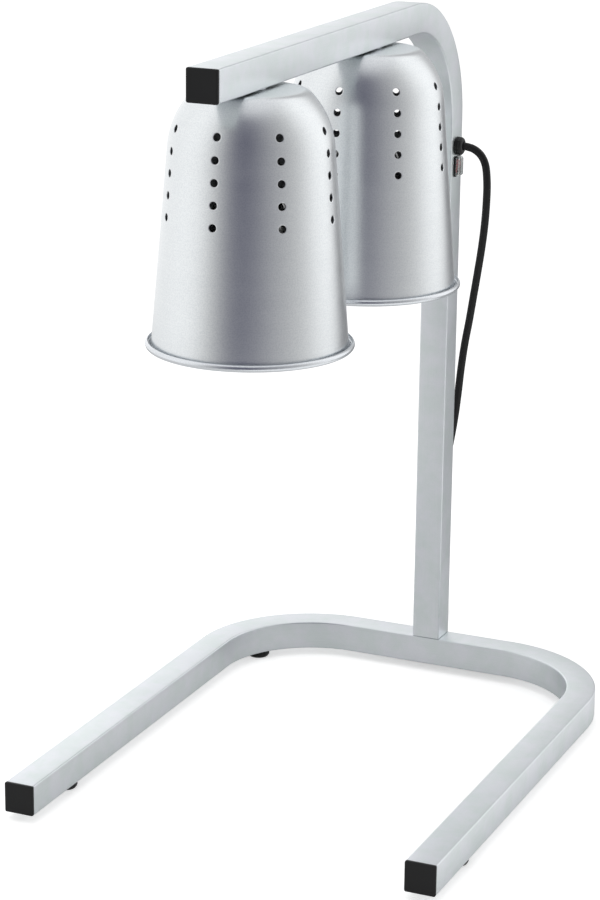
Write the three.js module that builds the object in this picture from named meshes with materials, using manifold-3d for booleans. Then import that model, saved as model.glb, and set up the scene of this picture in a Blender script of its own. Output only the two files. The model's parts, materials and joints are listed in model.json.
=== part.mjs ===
// Two-lamp food warmer: a bent square-tube arm on a U-shaped base, with two spun shades under the arm.
// Millimetres, +Z up. The origin is on the surface that it stands on, under the middle of base and arm.
// -Y is the front, where the legs and the arm end, and the post stands at the rear.
import * as THREE from "three";
import { ConvexGeometry } from "three/addons/geometries/ConvexGeometry.js";
import { mergeVertices } from "three/addons/utils/BufferGeometryUtils.js";
import Module from "manifold-3d";

const wasm = await Module();
wasm.setup();

// Fits that every piece shares
const SEAT = 0.3; // between two pieces that rest on each other
const OVERRUN = 2; // how far a cut runs past the face that it opens
const WELD = 0.0005; // corners nearer than this are one corner

// The stand's square tube
const TUBE_SIZE = 30;
const TUBE_WALL = 1.5;
const TUBE_CORNER = 2.4;
const BEND_RADIUS = 115; // to the tube's middle, of the base's corners and of the arm
const BASE_WIDTH = 436;
const BASE_DEPTH = 562; // rear bar to the faces of the leg plugs
const STAND_HEIGHT = 733;
const BEND_STEPS = 8;
const TUBE_BEND = [BEND_RADIUS, BEND_STEPS];

// Black plugs in the three open tube ends
const PLUG_FLANGE = 3;
const PLUG_BEVEL = 0.7;
const PLUG_DEPTH = 14;
const PLUG_SKIN = 2;
const PLUG_RIB_RISE = 0.5;
const PLUG_RIB_WIDTH = 1.4;
const PLUG_RIB_COUNT = 2;

// Rubber feet and their screws
const FOOT_HEIGHT = 8;
const FOOT_RADIUS = 9.5;
const FOOT_FACE_RADIUS = 7.6;
const FOOT_DRAFT = 2.2; // height of the rounded lower edge
const FOOT_RECESS_RADIUS = 4.3;
const FOOT_WEB = 2.6; // rubber over the screw head
const FRONT_FOOT_INSET = 92; // from the leg plugs' faces
const REAR_FOOT_ANGLE = 35; // degrees round the rear bend, from the leg's side
const SCREW_RADIUS = 1.6;
const SCREW_HEAD_RADIUS = 3.6;
const SCREW_HEAD_HEIGHT = 2.2;
const SCREW_REACH = 6; // past the tube wall, inside the tube

// Post joint: a tapped block in the post's foot and two bolts up through the rear bar
const INSERT_HEIGHT = 26;
const BOLT_RADIUS = 3;
const BOLT_SPREAD = 13;
const BOLT_FLANGE_RADIUS = 6;
const BOLT_FLANGE_HEIGHT = 1.2;
const BOLT_HEAD_RADIUS = 4.6;
const BOLT_HEAD_HEIGHT = 2.6;
const BOLT_GRIP = 18; // length in the block

// Shades: flat top, shoulder, tapered wall, rolled rim
const FRONT_SHADE_INSET = 100; // arm plug's face to the front shade's middle
const SHADE_SPACING = 265;
const REAR_SHADE_SETBACK = 223; // rear shade's middle to the rear face of the post
const SHADE_HEIGHT = 231;
const SHADE_FLAT_RADIUS = 49;
const SHADE_EDGE = 2.4; // depth of the softened edge round the flat top
const SHADE_SHOULDER_DEPTH = 50;
const SHADE_SHOULDER_RADIUS = 73.6;
const SHADE_FOOT_RADIUS = 88.2;
const SHADE_WALL = 1.2;
const ROLL_RADIUS = 3.3; // outside of the rolled rim
const ROLL_END = 70; // degrees above level at which the roll's lip ends
const ROLL_STEPS = 5;
const SHOULDER_STEPS = 5;
const SHADE_SIDES = 24;
const VENT_RADIUS = 3.5;
const VENT_SIDES = 8;
const VENT_COLUMNS = 8;
const VENT_ROWS = 5;
const VENT_FIRST_DEPTH = 31.5; // shade's top to the first row
const VENT_PITCH = 19.3;

// What hangs each shade from the arm
const NIPPLE_RADIUS = 4.9;
const NIPPLE_BORE = 3.4;
const NIPPLE_RISE = 2; // above its nut, inside the arm
const NUT_FLATS = 14;
const NUT_HEIGHT = 4;
const SPACER_RADIUS = 13;
const SPACER_HEIGHT = 0.9;
const CLAMP_RADIUS = 16;
const CLAMP_HEIGHT = 1.6;

// Ceramic holder with its brass thread and contact
const HOLDER_RADIUS = 21;
const HOLDER_TOP_RADIUS = 13;
const HOLDER_NECK = 9; // height of the part that the nipple screws into
const HOLDER_SHOULDER = 22; // depth at which the body has its full width
const HOLDER_HEIGHT = 49;
const CHAMBER_RADIUS = 8;
const CHAMBER_DEPTH = 8;
const WEB_HEIGHT = 5; // ceramic between the wiring chamber and the socket
const SHELL_RADIUS = 14.6;
const SHELL_SKIN = 0.7;
const SHELL_HEIGHT = 24;
const RIVET_RADIUS = 1.6;
const TONGUE_RADIUS = 4;
const TONGUE_HEIGHT = 1.2;

// R125 reflector bulb with an E27 cap
const BULB_LENGTH = 180;
const BULB_RADIUS = 62.5;
const BULB_SKIN = 1.1;
const CAP_RADIUS = 13.2;
const CAP_HEIGHT = 27;
const CAP_TIP_RADIUS = 4.6;
const CAP_TIP_HEIGHT = 3;
const CAP_CONE_HEIGHT = 7;
const CAP_SKIN = 0.9;
const CAP_SOCKET_DEPTH = 14; // how far up the cap is hollow
const THREAD_PITCH = 4.2;
const THREAD_RISE = 0.7;
const THREAD_TURNS = 3;
const NECK_RADIUS = 11.6;
const NECK_DEPTH = 9; // glass inside the cap
const MOUNT_RADIUS = 3;
const MOUNT_FLARE_HEIGHT = 3;
const FILAMENT_DEPTH = 66; // cap's lower edge to the filament ring
const FILAMENT_RING = 17;
const FILAMENT_WIRE = 1.1;
const FILAMENT_ARMS = 4;

// Cord gland in the post's right side
const GLAND_DROP = 29; // start of the arm's bend to the gland's middle
const GLAND_RADIUS = 9.4;
const GLAND_FLANGE = 2;
const GLAND_NUT_LENGTH = 4.6;
const GLAND_NUT_ROUND = 2;
const GLAND_NUT_RIBS = 8;
const GLAND_RIB_RISE = 0.5;
const GLAND_SHANK_RADIUS = 7.6;
const GLAND_SHANK_LENGTH = 9;
const GLAND_LOCK_FLATS = 18;
const GLAND_LOCK_HEIGHT = 3;

// Rocker switch under the gland
const SWITCH_DROP = 21; // gland's middle to the switch's middle
const BEZEL_HEIGHT = 21;
const BEZEL_WIDTH = 15;
const BEZEL_RISE = 1.4;
const BEZEL_CORNER = 1.5;
const SWITCH_BODY_HEIGHT = 18.6;
const SWITCH_BODY_WIDTH = 12.6;
const SWITCH_BODY_DEPTH = 13;
const SWITCH_FLOOR = 3;
const BLADE_LENGTH = 5;
const BLADE_WIDTH = 4.8;
const BLADE_THICKNESS = 0.8;
const BLADE_SPREAD = 10;
const ROCKER_HEIGHT = 14;
const ROCKER_WIDTH = 8.4;
const ROCKER_TILT = 9; // degrees either way of level
const ROCKER_RISE = 0.8; // of its middle above the bezel
const ROCKER_DEPTH = 6;
const ROCKER_GAP = 0.5;
const BOOT_RISE = 3.4;
const BOOT_SKIN = 0.8;
const BOOT_INSET = 0.6;
const BOOT_CORNER = 3;

// Wiring inside the tube
const LEAD_RADIUS = 2;
const LEAD_PITCH = 6.4;
const LEAD_SIDES = 6;
const TURN_STEPS = 3;
const BLOCK_HEIGHT = 24;
const BLOCK_WIDTH = 24;
const BLOCK_DEPTH = 15;
const BLOCK_DROP = 82; // gland's middle to the block's middle
const LEAD_TURN = 6; // radius of a lamp lead's turn down into its nipple
const LEAD_ROOM = 1.2; // between a lead and the wall that it runs along

// Mains cord
const CORD_RADIUS = 4;
const CORD_SIDES = 8;
const GLAND_BITE = 5; // cord inside the gland, from its face
const HANK_RUN = 120; // between the middles of its folds, fifteen diameters
const HANK_FOLD = 24; // radius of its tightest folds, three diameters
const HANK_SIDE_STEP = 8.8; // from one loop to the next beside it
const HANK_LIFT = 8.5; // from one loop to the next above it
const HANK_NESTLE = 2.5; // how far the upper loop's far side sinks beside the lower ones
const HANK_WAIST = 10; // how far the tie draws each run in
const HANK_MIDDLE = 15.5; // where its waist is, from side to side
const HANK_GAP = 1.2; // rear bar to the hank
const HANK_SIDES = 6;
const RUN_STEPS = 8;
const FOLD_STEPS = 7;
const GAP_POINTS = 700;
const TIE_WIDTH = 7;
const TIE_SKIN = 0.8;
const TIE_ROOM = 0.4;
const TIE_SIDES = 16;

// Mains plug with two round pins and side earth contacts
const FACE_RADIUS = 18.4;
const FACE_LENGTH = 16;
const FACE_EDGE = 1.4;
const GRIP_RADIUS = 12;
const GRIP_LENGTH = 22;
const RELIEF_RADIUS = 6.4;
const RELIEF_END_RADIUS = 5;
const RELIEF_LENGTH = 24;
const RELIEF_RINGS = 4;
const RELIEF_RING_RISE = 0.8;
const PIN_RADIUS = 2.4;
const PIN_LENGTH = 19;
const PIN_SPREAD = 19;
const PIN_SOCKET = 8; // pin length inside the plug's face
const EARTH_HOLE_RADIUS = 2.6;
const EARTH_HOLE_DEPTH = 12;
const EARTH_HOLE_OFFSET = 10;
const EARTH_WIDTH = 5;
const EARTH_SLOT_DEPTH = 2.4;
const EARTH_SKIN = 1;
const PLUG_SIDES = 16;

// Places that follow from the sizes above
const HALF_TUBE = TUBE_SIZE / 2;
const TUBE_BORE = TUBE_SIZE - 2 * TUBE_WALL;
const HALF_BORE = TUBE_BORE / 2;
const ARM_REACH = FRONT_SHADE_INSET + SHADE_SPACING + REAR_SHADE_SETBACK;
const REAR_Y = ARM_REACH / 2;
const FRONT_Y = REAR_Y - ARM_REACH;
const POST_Y = REAR_Y - HALF_TUBE;
const LEG_X = BASE_WIDTH / 2 - HALF_TUBE;
const LEG_FRONT_Y = REAR_Y - BASE_DEPTH;
const BAR_Z = FOOT_HEIGHT + HALF_TUBE;
const BAR_TOP = FOOT_HEIGHT + TUBE_SIZE;
const POST_FOOT = BAR_TOP + SEAT;
const ARM_Z = STAND_HEIGHT - HALF_TUBE;
const ARM_UNDERSIDE = STAND_HEIGHT - TUBE_SIZE;
const PLUG_STAND_OFF = PLUG_FLANGE + SEAT;
const FRONT_SHADE_Y = FRONT_Y + FRONT_SHADE_INSET;
const REAR_SHADE_Y = FRONT_SHADE_Y + SHADE_SPACING;
const BOLT_HOLE_RADIUS = BOLT_RADIUS + SEAT;
const SCREW_HOLE_RADIUS = SCREW_RADIUS + SEAT;
const NIPPLE_HOLE_RADIUS = NIPPLE_RADIUS + SEAT;
const GLAND_HEIGHT = ARM_Z - BEND_RADIUS - GLAND_DROP;
const SWITCH_HEIGHT = GLAND_HEIGHT - SWITCH_DROP;
const BLOCK_Z = GLAND_HEIGHT - BLOCK_DROP;

const FINISHES = {
  satin_aluminium: { color: 0xc9cfd0, roughness: 0.42, metalness: 0.9 },
  spun_aluminium: { color: 0xd5d7da, roughness: 0.36, metalness: 0.9 },
  black_plastic: { color: 0x1b1c1e, roughness: 0.5, metalness: 0 },
  black_rubber: { color: 0x151516, roughness: 0.75, metalness: 0 },
  zinc_steel: { color: 0xb6b9bd, roughness: 0.35, metalness: 1 },
  brass: { color: 0xc8a24a, roughness: 0.35, metalness: 1 },
  white_ceramic: { color: 0xf1efe9, roughness: 0.3, metalness: 0 },
  bulb_glass: { color: 0xe9eef0, roughness: 0.08, metalness: 0 },
  tungsten: { color: 0x6f7073, roughness: 0.4, metalness: 1 },
  red_plastic: { color: 0xb5262b, roughness: 0.35, metalness: 0 },
  clear_silicone: { color: 0xdfe3e4, roughness: 0.2, metalness: 0 },
  pale_plastic: { color: 0xe6e4dc, roughness: 0.5, metalness: 0 },
  sleeve: { color: 0xe8e2d2, roughness: 0.8, metalness: 0 },
  nickel: { color: 0xcfcfca, roughness: 0.25, metalness: 1 },
};
const materials = Object.fromEntries(
  Object.entries(FINISHES).map(([name, look]) => [name, new THREE.MeshStandardMaterial({ name, ...look })]),
);

const radians = THREE.MathUtils.degToRad;

// A closed geometry as a solid: equal corners merged, and its faces turned out if they point in.
function solidOf(geometry) {
  const bare = geometry.index ? geometry.toNonIndexed() : geometry.clone();
  bare.deleteAttribute("normal");
  bare.deleteAttribute("uv");
  const merged = mergeVertices(bare, WELD);
  const vertProperties = merged.attributes.position.array;
  const triVerts = new Uint32Array(merged.index.array);
  const corner = (i) => new THREE.Vector3().fromArray(vertProperties, 3 * triVerts[i]);
  let volume = 0;
  for (let i = 0; i < triVerts.length; i += 3) {
    volume += corner(i).dot(corner(i + 1).cross(corner(i + 2)));
  }
  if (volume < 0) triVerts.reverse();
  return new wasm.Manifold(new wasm.Mesh({ numProp: 3, vertProperties, triVerts }));
}

const join = (first, ...others) => others.reduce((whole, piece) => whole.add(piece), first);
const cut = (first, ...others) => others.reduce((whole, piece) => whole.subtract(piece), first);

// A named mesh of a solid.
function piece(name, solid, finish) {
  const { vertProperties, triVerts } = solid.getMesh();
  const geometry = new THREE.BufferGeometry();
  geometry.setAttribute("position", new THREE.BufferAttribute(vertProperties, 3));
  geometry.setIndex(new THREE.BufferAttribute(triVerts, 1));
  geometry.computeVertexNormals();
  const mesh = new THREE.Mesh(geometry, materials[finish]);
  mesh.name = name;
  return mesh;
}

function groupOf(...members) {
  const made = new THREE.Group();
  made.add(...members);
  return made;
}

// A group placed at a point and turned about X, Y and Z.
function placed(made, [x, y, z], [turnX, turnY, turnZ] = [0, 0, 0]) {
  made.position.set(x, y, z);
  made.rotation.set(turnX, turnY, turnZ, "ZYX");
  return made;
}

// The outline of a rectangle with corners rounded by a number of steps.
function roundedOutline(width, height, corner, steps = 1) {
  const points = [];
  for (let quarter = 0; quarter < 4; quarter++) {
    const right = quarter === 0 || quarter === 3 ? 1 : -1;
    const up = quarter < 2 ? 1 : -1;
    for (let i = 0; i <= steps; i++) {
      const angle = (quarter + i / steps) * (Math.PI / 2);
      points.push(
        new THREE.Vector2(
          right * (width / 2 - corner) + corner * Math.cos(angle),
          up * (height / 2 - corner) + corner * Math.sin(angle),
        ),
      );
    }
  }
  return points;
}

function roundOutline(radius, sides, turn = 0) {
  return Array.from({ length: sides }, (_, i) => {
    const angle = turn + (2 * Math.PI * i) / sides;
    return new THREE.Vector2(radius * Math.cos(angle), radius * Math.sin(angle));
  });
}

function shapeOf(outline, hole) {
  const shape = new THREE.Shape(outline);
  if (hole) shape.holes.push(new THREE.Path(hole));
  return shape;
}

// An outline carried straight up from one height to another.
function upright(outline, from, to, hole) {
  const options = { depth: to - from, bevelEnabled: false };
  return solidOf(new THREE.ExtrudeGeometry(shapeOf(outline, hole), options).translate(0, 0, from));
}

// A profile of [radius, height] points turned about Z.
function turned(profile, sides, start = 0) {
  const points = profile.map(([radius, height]) => new THREE.Vector2(radius, height));
  return solidOf(new THREE.LatheGeometry(points, sides, start).rotateX(Math.PI / 2));
}

// A straight round bar between two points, for pins and for drilling.
function bar(from, to, radius, sides) {
  const start = new THREE.Vector3(...from);
  const end = new THREE.Vector3(...to);
  const way = end.clone().sub(start);
  const geometry = new THREE.CylinderGeometry(radius, radius, way.length(), sides);
  geometry.applyQuaternion(
    new THREE.Quaternion().setFromUnitVectors(new THREE.Vector3(0, 1, 0), way.normalize()),
  );
  const middle = start.add(end).divideScalar(2);
  return solidOf(geometry.translate(middle.x, middle.y, middle.z));
}

function block([width, depth, height], [x, y, z]) {
  return solidOf(new THREE.BoxGeometry(width, depth, height).translate(x, y, z));
}

// A path that an outline is carried along station by station: bends get steps and straights get none.
class StationPath extends THREE.Curve {
  constructor(stations) {
    super();
    this.stations = stations;
  }
  station(u) {
    return this.stations[Math.round(u * (this.stations.length - 1))];
  }
  getPointAt(u, target = new THREE.Vector3()) {
    return target.copy(this.station(u).point);
  }
  getTangentAt(u, target = new THREE.Vector3()) {
    return target.copy(this.station(u).tangent);
  }
}

// Stations along straight runs between corners, with an arc at each inner corner: its [radius, steps].
function bentStations(corners, bends) {
  const points = corners.map((corner) => new THREE.Vector3(...corner));
  const ways = points.slice(1).map((point, i) => point.clone().sub(points[i]).normalize());
  const stations = [{ point: points[0], tangent: ways[0] }];
  for (let i = 1; i < points.length - 1; i++) {
    const [before, after] = [ways[i - 1], ways[i]];
    const [radius, steps] = bends[i - 1];
    const angle = before.angleTo(after);
    const start = points[i].clone().addScaledVector(before, -radius * Math.tan(angle / 2));
    const inward = after.clone().addScaledVector(before, -before.dot(after)).normalize();
    const middle = start.clone().addScaledVector(inward, radius);
    for (let step = 0; step <= steps; step++) {
      const turn = (angle * step) / steps;
      const point = middle.clone();
      point.addScaledVector(inward, -radius * Math.cos(turn));
      point.addScaledVector(before, radius * Math.sin(turn));
      const tangent = before.clone().multiplyScalar(Math.cos(turn));
      stations.push({ point, tangent: tangent.addScaledVector(inward, Math.sin(turn)) });
    }
  }
  stations.push({ point: points.at(-1), tangent: ways.at(-1) });
  return stations;
}

function alongStations(outline, stations, hole) {
  const options = { steps: stations.length - 1, extrudePath: new StationPath(stations) };
  return solidOf(new THREE.ExtrudeGeometry(shapeOf(outline, hole), options));
}

const tubeOutline = roundedOutline(TUBE_SIZE, TUBE_SIZE, TUBE_CORNER);
const boreOutline = [
  [HALF_BORE, HALF_BORE],
  [-HALF_BORE, HALF_BORE],
  [-HALF_BORE, -HALF_BORE],
  [HALF_BORE, -HALF_BORE],
].map(([x, y]) => new THREE.Vector2(x, y));

// Where the feet stand: under the legs near their ends, and under the rear bends.
function footPlaces() {
  const bendX = LEG_X - BEND_RADIUS;
  const bendY = POST_Y - BEND_RADIUS;
  const rearX = bendX + BEND_RADIUS * Math.cos(radians(REAR_FOOT_ANGLE));
  const rearY = bendY + BEND_RADIUS * Math.sin(radians(REAR_FOOT_ANGLE));
  const frontY = LEG_FRONT_Y + FRONT_FOOT_INSET;
  return [
    [-LEG_X, frontY],
    [LEG_X, frontY],
    [-rearX, rearY],
    [rearX, rearY],
  ];
}

// U-shaped base: one tube bent twice, drilled for the feet's screws and the post's bolts.
function baseFrame() {
  const end = LEG_FRONT_Y + PLUG_STAND_OFF;
  const corners = [
    [-LEG_X, end, BAR_Z],
    [-LEG_X, POST_Y, BAR_Z],
    [LEG_X, POST_Y, BAR_Z],
    [LEG_X, end, BAR_Z],
  ];
  const stations = bentStations(corners, [TUBE_BEND, TUBE_BEND]);
  const tube = alongStations(tubeOutline, stations, boreOutline);
  const inside = FOOT_HEIGHT + TUBE_WALL + OVERRUN;
  const screwHoles = footPlaces().map(([x, y]) =>
    bar([x, y, FOOT_HEIGHT - OVERRUN], [x, y, inside], SCREW_HOLE_RADIUS, 8),
  );
  const boltHoles = [-1, 1].map((side) => {
    const x = (side * BOLT_SPREAD) / 2;
    return bar([x, POST_Y, FOOT_HEIGHT - OVERRUN], [x, POST_Y, BAR_TOP + OVERRUN], BOLT_HOLE_RADIUS, 12);
  });
  return piece("base_frame", cut(tube, ...screwHoles, ...boltHoles), "satin_aluminium");
}

// Post and arm: one tube with one bend, cut for the nipples, the gland and the switch.
function postArm() {
  const corners = [
    [0, POST_Y, POST_FOOT],
    [0, POST_Y, ARM_Z],
    [0, FRONT_Y + PLUG_STAND_OFF, ARM_Z],
  ];
  const tube = alongStations(tubeOutline, bentStations(corners, [TUBE_BEND]), boreOutline);
  const floor = ARM_UNDERSIDE + TUBE_WALL + OVERRUN;
  const nippleHoles = [FRONT_SHADE_Y, REAR_SHADE_Y].map((y) =>
    bar([0, y, ARM_UNDERSIDE - OVERRUN], [0, y, floor], NIPPLE_HOLE_RADIUS, 16),
  );
  const wallFrom = HALF_BORE - OVERRUN;
  const wallTo = HALF_TUBE + OVERRUN;
  const glandHole = bar(
    [wallFrom, POST_Y, GLAND_HEIGHT],
    [wallTo, POST_Y, GLAND_HEIGHT],
    GLAND_SHANK_RADIUS + SEAT,
    16,
  );
  const switchHole = block(
    [wallTo - wallFrom, SWITCH_BODY_WIDTH + 2 * SEAT, SWITCH_BODY_HEIGHT + 2 * SEAT],
    [(wallFrom + wallTo) / 2, POST_Y, SWITCH_HEIGHT],
  );
  return piece("post_arm", cut(tube, ...nippleHoles, glandHole, switchHole), "satin_aluminium");
}

// End plug, made pointing up from the tube's end: a bevelled flange over a ribbed hollow shank.
function endPlug(name, place, turns) {
  const flange = new THREE.ExtrudeGeometry(shapeOf(tubeOutline), {
    depth: PLUG_FLANGE - 2 * PLUG_BEVEL,
    bevelThickness: PLUG_BEVEL,
    bevelSize: PLUG_BEVEL,
    bevelOffset: -PLUG_BEVEL,
    bevelSegments: 1,
  }).translate(0, 0, SEAT + PLUG_BEVEL);
  const ribSize = TUBE_BORE - 2 * SEAT;
  const shankSize = ribSize - 2 * PLUG_RIB_RISE;
  const hollow = boreOutline.map((corner) =>
    corner.clone().multiplyScalar((shankSize - 2 * PLUG_SKIN) / TUBE_BORE),
  );
  const square = (size) => roundedOutline(size, size, PLUG_SKIN / 2);
  const shank = upright(square(shankSize), -PLUG_DEPTH, SEAT + PLUG_BEVEL, hollow);
  const ribs = Array.from({ length: PLUG_RIB_COUNT }, (_, i) => {
    const top = (-PLUG_DEPTH * (i + 1)) / (PLUG_RIB_COUNT + 1);
    return upright(square(ribSize), top - PLUG_RIB_WIDTH, top, hollow);
  });
  const made = piece(name, join(solidOf(flange), shank, ...ribs), "black_plastic");
  return placed(groupOf(made), place, turns);
}

function endPlugs() {
  const forward = [Math.PI / 2, 0, 0];
  const legEnd = LEG_FRONT_Y + PLUG_STAND_OFF;
  return [
    endPlug("base_plug_left", [-LEG_X, legEnd, BAR_Z], forward),
    endPlug("base_plug_right", [LEG_X, legEnd, BAR_Z], forward),
    endPlug("arm_plug", [0, FRONT_Y + PLUG_STAND_OFF, ARM_Z], forward),
  ];
}

// Rubber foot with a recess for its screw, made about its own middle on the floor.
function foot(index, [x, y]) {
  const ceiling = FOOT_HEIGHT - SEAT - FOOT_WEB;
  const top = FOOT_HEIGHT - SEAT;
  const hole = SCREW_RADIUS + SEAT;
  const rubber = turned(
    [
      [hole, ceiling],
      [FOOT_RECESS_RADIUS, ceiling],
      [FOOT_RECESS_RADIUS, 0],
      [FOOT_FACE_RADIUS, 0],
      [FOOT_RADIUS, FOOT_DRAFT],
      [FOOT_RADIUS, top],
      [hole, top],
      [hole, ceiling],
    ],
    12,
  );
  const seat = ceiling - SEAT;
  const end = FOOT_HEIGHT + TUBE_WALL + SCREW_REACH;
  const screw = turned(
    [
      [0, seat - SCREW_HEAD_HEIGHT],
      [SCREW_HEAD_RADIUS - SCREW_RADIUS / 2, seat - SCREW_HEAD_HEIGHT],
      [SCREW_HEAD_RADIUS, seat - SCREW_HEAD_HEIGHT / 2],
      [SCREW_HEAD_RADIUS, seat],
      [SCREW_RADIUS, seat],
      [SCREW_RADIUS, end - SCREW_RADIUS],
      [0, end],
    ],
    8,
  );
  const members = [
    piece(`foot_${index}`, rubber, "black_rubber"),
    piece(`foot_screw_${index}`, screw, "zinc_steel"),
  ];
  return placed(groupOf(...members), [x, y, 0]);
}

// Tapped block in the post's foot, and the two flanged bolts that pull it down on the rear bar.
function postJoint() {
  const size = TUBE_BORE - 2 * SEAT;
  const blockTop = POST_FOOT + INSERT_HEIGHT;
  const places = [-1, 1].map((side) => (side * BOLT_SPREAD) / 2);
  const holes = places.map((x) =>
    bar([x, 0, POST_FOOT - OVERRUN], [x, 0, blockTop + OVERRUN], BOLT_HOLE_RADIUS, 12),
  );
  const insert = cut(upright(roundedOutline(size, size, TUBE_CORNER), POST_FOOT, blockTop), ...holes);
  const under = FOOT_HEIGHT - SEAT;
  const headFoot = under - BOLT_FLANGE_HEIGHT - BOLT_HEAD_HEIGHT;
  const socket = upright(roundOutline(BOLT_RADIUS, 6), headFoot - OVERRUN, headFoot + BOLT_HEAD_HEIGHT / 2);
  const bolt = cut(
    turned(
      [
        [0, headFoot],
        [BOLT_RADIUS + SEAT, headFoot],
        [BOLT_HEAD_RADIUS, headFoot + BOLT_HEAD_HEIGHT / 2],
        [BOLT_HEAD_RADIUS, under - BOLT_FLANGE_HEIGHT],
        [BOLT_FLANGE_RADIUS, under - BOLT_FLANGE_HEIGHT],
        [BOLT_FLANGE_RADIUS, under],
        [BOLT_RADIUS, under],
        [BOLT_RADIUS, POST_FOOT + BOLT_GRIP],
        [0, POST_FOOT + BOLT_GRIP],
      ],
      12,
    ),
    socket,
  );
  const members = [
    piece("post_insert", insert, "zinc_steel"),
    placed(piece("post_bolt_left", bolt, "zinc_steel"), [places[0], 0, 0]),
    placed(piece("post_bolt_right", bolt, "zinc_steel"), [places[1], 0, 0]),
  ];
  return placed(groupOf(...members), [0, POST_Y, 0]);
}

// Half of a shade's section, from its top: [radius, depth] of the outside, set in by a skin for the inside.
function shadeSkin(skin) {
  const wallDepth = SHADE_HEIGHT - ROLL_RADIUS;
  const slope = Math.atan2(SHADE_FOOT_RADIUS - SHADE_SHOULDER_RADIUS, wallDepth - SHADE_SHOULDER_DEPTH);
  const [normalR, normalZ] = [Math.cos(slope), Math.sin(slope)];
  const [chordR, chordZ] = [SHADE_SHOULDER_RADIUS - SHADE_FLAT_RADIUS, -SHADE_SHOULDER_DEPTH];
  const radius = (chordR ** 2 + chordZ ** 2) / (2 * (chordR * normalR + chordZ * normalZ));
  const middleR = SHADE_SHOULDER_RADIUS - radius * normalR;
  const middleZ = -SHADE_SHOULDER_DEPTH - radius * normalZ;
  const first = Math.asin((-SHADE_EDGE - middleZ) / radius);
  const arc = Array.from({ length: SHOULDER_STEPS + 1 }, (_, i) => {
    const angle = first + ((slope - first) * i) / SHOULDER_STEPS;
    return [middleR + (radius - skin) * Math.cos(angle), middleZ + (radius - skin) * Math.sin(angle)];
  });
  return [
    [SHADE_FLAT_RADIUS - SHADE_EDGE, -skin],
    ...arc,
    [SHADE_FOOT_RADIUS - skin, -wallDepth],
  ];
}

// The rim's roll: the wall turns out and up again to a lip, with an open groove behind it.
function rollArc(radius) {
  const middleR = SHADE_FOOT_RADIUS - SHADE_WALL + ROLL_RADIUS;
  const middleZ = -SHADE_HEIGHT + ROLL_RADIUS;
  return Array.from({ length: ROLL_STEPS + 1 }, (_, i) => {
    const angle = radians(180 + ((180 + ROLL_END) * i) / ROLL_STEPS);
    return [middleR + radius * Math.cos(angle), middleZ + radius * Math.sin(angle)];
  });
}

// The vent holes: bars out through the wall, level, in columns that stand on the middle of a facet.
function ventCutters() {
  const cutters = [];
  for (let column = 0; column < VENT_COLUMNS; column++) {
    const angle = (2 * Math.PI * column) / VENT_COLUMNS;
    for (let row = 0; row < VENT_ROWS; row++) {
      const depth = -(VENT_FIRST_DEPTH + row * VENT_PITCH);
      const [from, to] = [SHADE_FLAT_RADIUS, SHADE_FOOT_RADIUS + OVERRUN];
      const [x, y] = [Math.cos(angle), Math.sin(angle)];
      cutters.push(bar([from * x, from * y, depth], [to * x, to * y, depth], VENT_RADIUS, VENT_SIDES));
    }
  }
  return cutters;
}

// Spun shade, made downwards from its top.
function shadeSolid() {
  const outside = shadeSkin(0).slice(0, -1);
  const inside = shadeSkin(SHADE_WALL).slice(0, -1);
  const hole = [NIPPLE_HOLE_RADIUS, 0];
  const rollInside = rollArc(ROLL_RADIUS - SHADE_WALL);
  const rollOutside = rollArc(ROLL_RADIUS);
  const profile = [
    hole,
    ...outside,
    ...rollInside,
    ...rollOutside.reverse(),
    ...inside.reverse(),
    [NIPPLE_HOLE_RADIUS, -SHADE_WALL],
    hole,
  ];
  return cut(turned(profile, SHADE_SIDES, Math.PI / SHADE_SIDES), ...ventCutters());
}

// Ceramic body, made downwards from its top: the nipple's bore, a wiring chamber, a web, and the socket.
function holderSolid() {
  const web = -(HOLDER_NECK + CHAMBER_DEPTH);
  const ceiling = web - WEB_HEIGHT;
  const rivetHole = RIVET_RADIUS + SEAT;
  return turned(
    [
      [NIPPLE_HOLE_RADIUS, 0],
      [HOLDER_TOP_RADIUS, 0],
      [HOLDER_TOP_RADIUS, -HOLDER_NECK],
      [HOLDER_RADIUS, -HOLDER_SHOULDER],
      [HOLDER_RADIUS, -HOLDER_HEIGHT],
      [SHELL_RADIUS + SEAT, -HOLDER_HEIGHT],
      [SHELL_RADIUS + SEAT, ceiling],
      [rivetHole, ceiling],
      [rivetHole, web],
      [CHAMBER_RADIUS, web],
      [CHAMBER_RADIUS, -HOLDER_NECK],
      [NIPPLE_HOLE_RADIUS, -HOLDER_NECK],
      [NIPPLE_HOLE_RADIUS, 0],
    ],
    16,
  );
}

// The bulb's outline as shares: of its largest radius, and of the glass's length below the cap.
const BULB_SHAPE_SHARES = [
  [0.27, 0.04],
  [0.36, 0.17],
  [0.6, 0.38],
  [0.83, 0.56],
  [0.98, 0.72],
  [0.98, 0.86],
  [0.82, 0.95],
  [0.5, 0.99],
  [0, 1],
];

// Glass bulb, made downwards from the cap's lower edge, open at its neck.
function glassSolid() {
  const length = BULB_LENGTH - CAP_HEIGHT;
  const neck = [
    [NECK_RADIUS, NECK_DEPTH],
    [NECK_RADIUS, 0],
  ];
  const outer = BULB_SHAPE_SHARES.map(([r, d]) => [r * BULB_RADIUS, -d * length]);
  const narrowed = (BULB_RADIUS - BULB_SKIN) / BULB_RADIUS;
  const inner = BULB_SHAPE_SHARES.map(([r, d]) => [r * BULB_RADIUS * narrowed, -d * (length - BULB_SKIN)]);
  const innerNeck = neck.map(([r, z]) => [r - BULB_SKIN, z]);
  return turned([...neck, ...outer, ...inner.reverse(), ...innerNeck.reverse(), neck[0]], 18);
}

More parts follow.
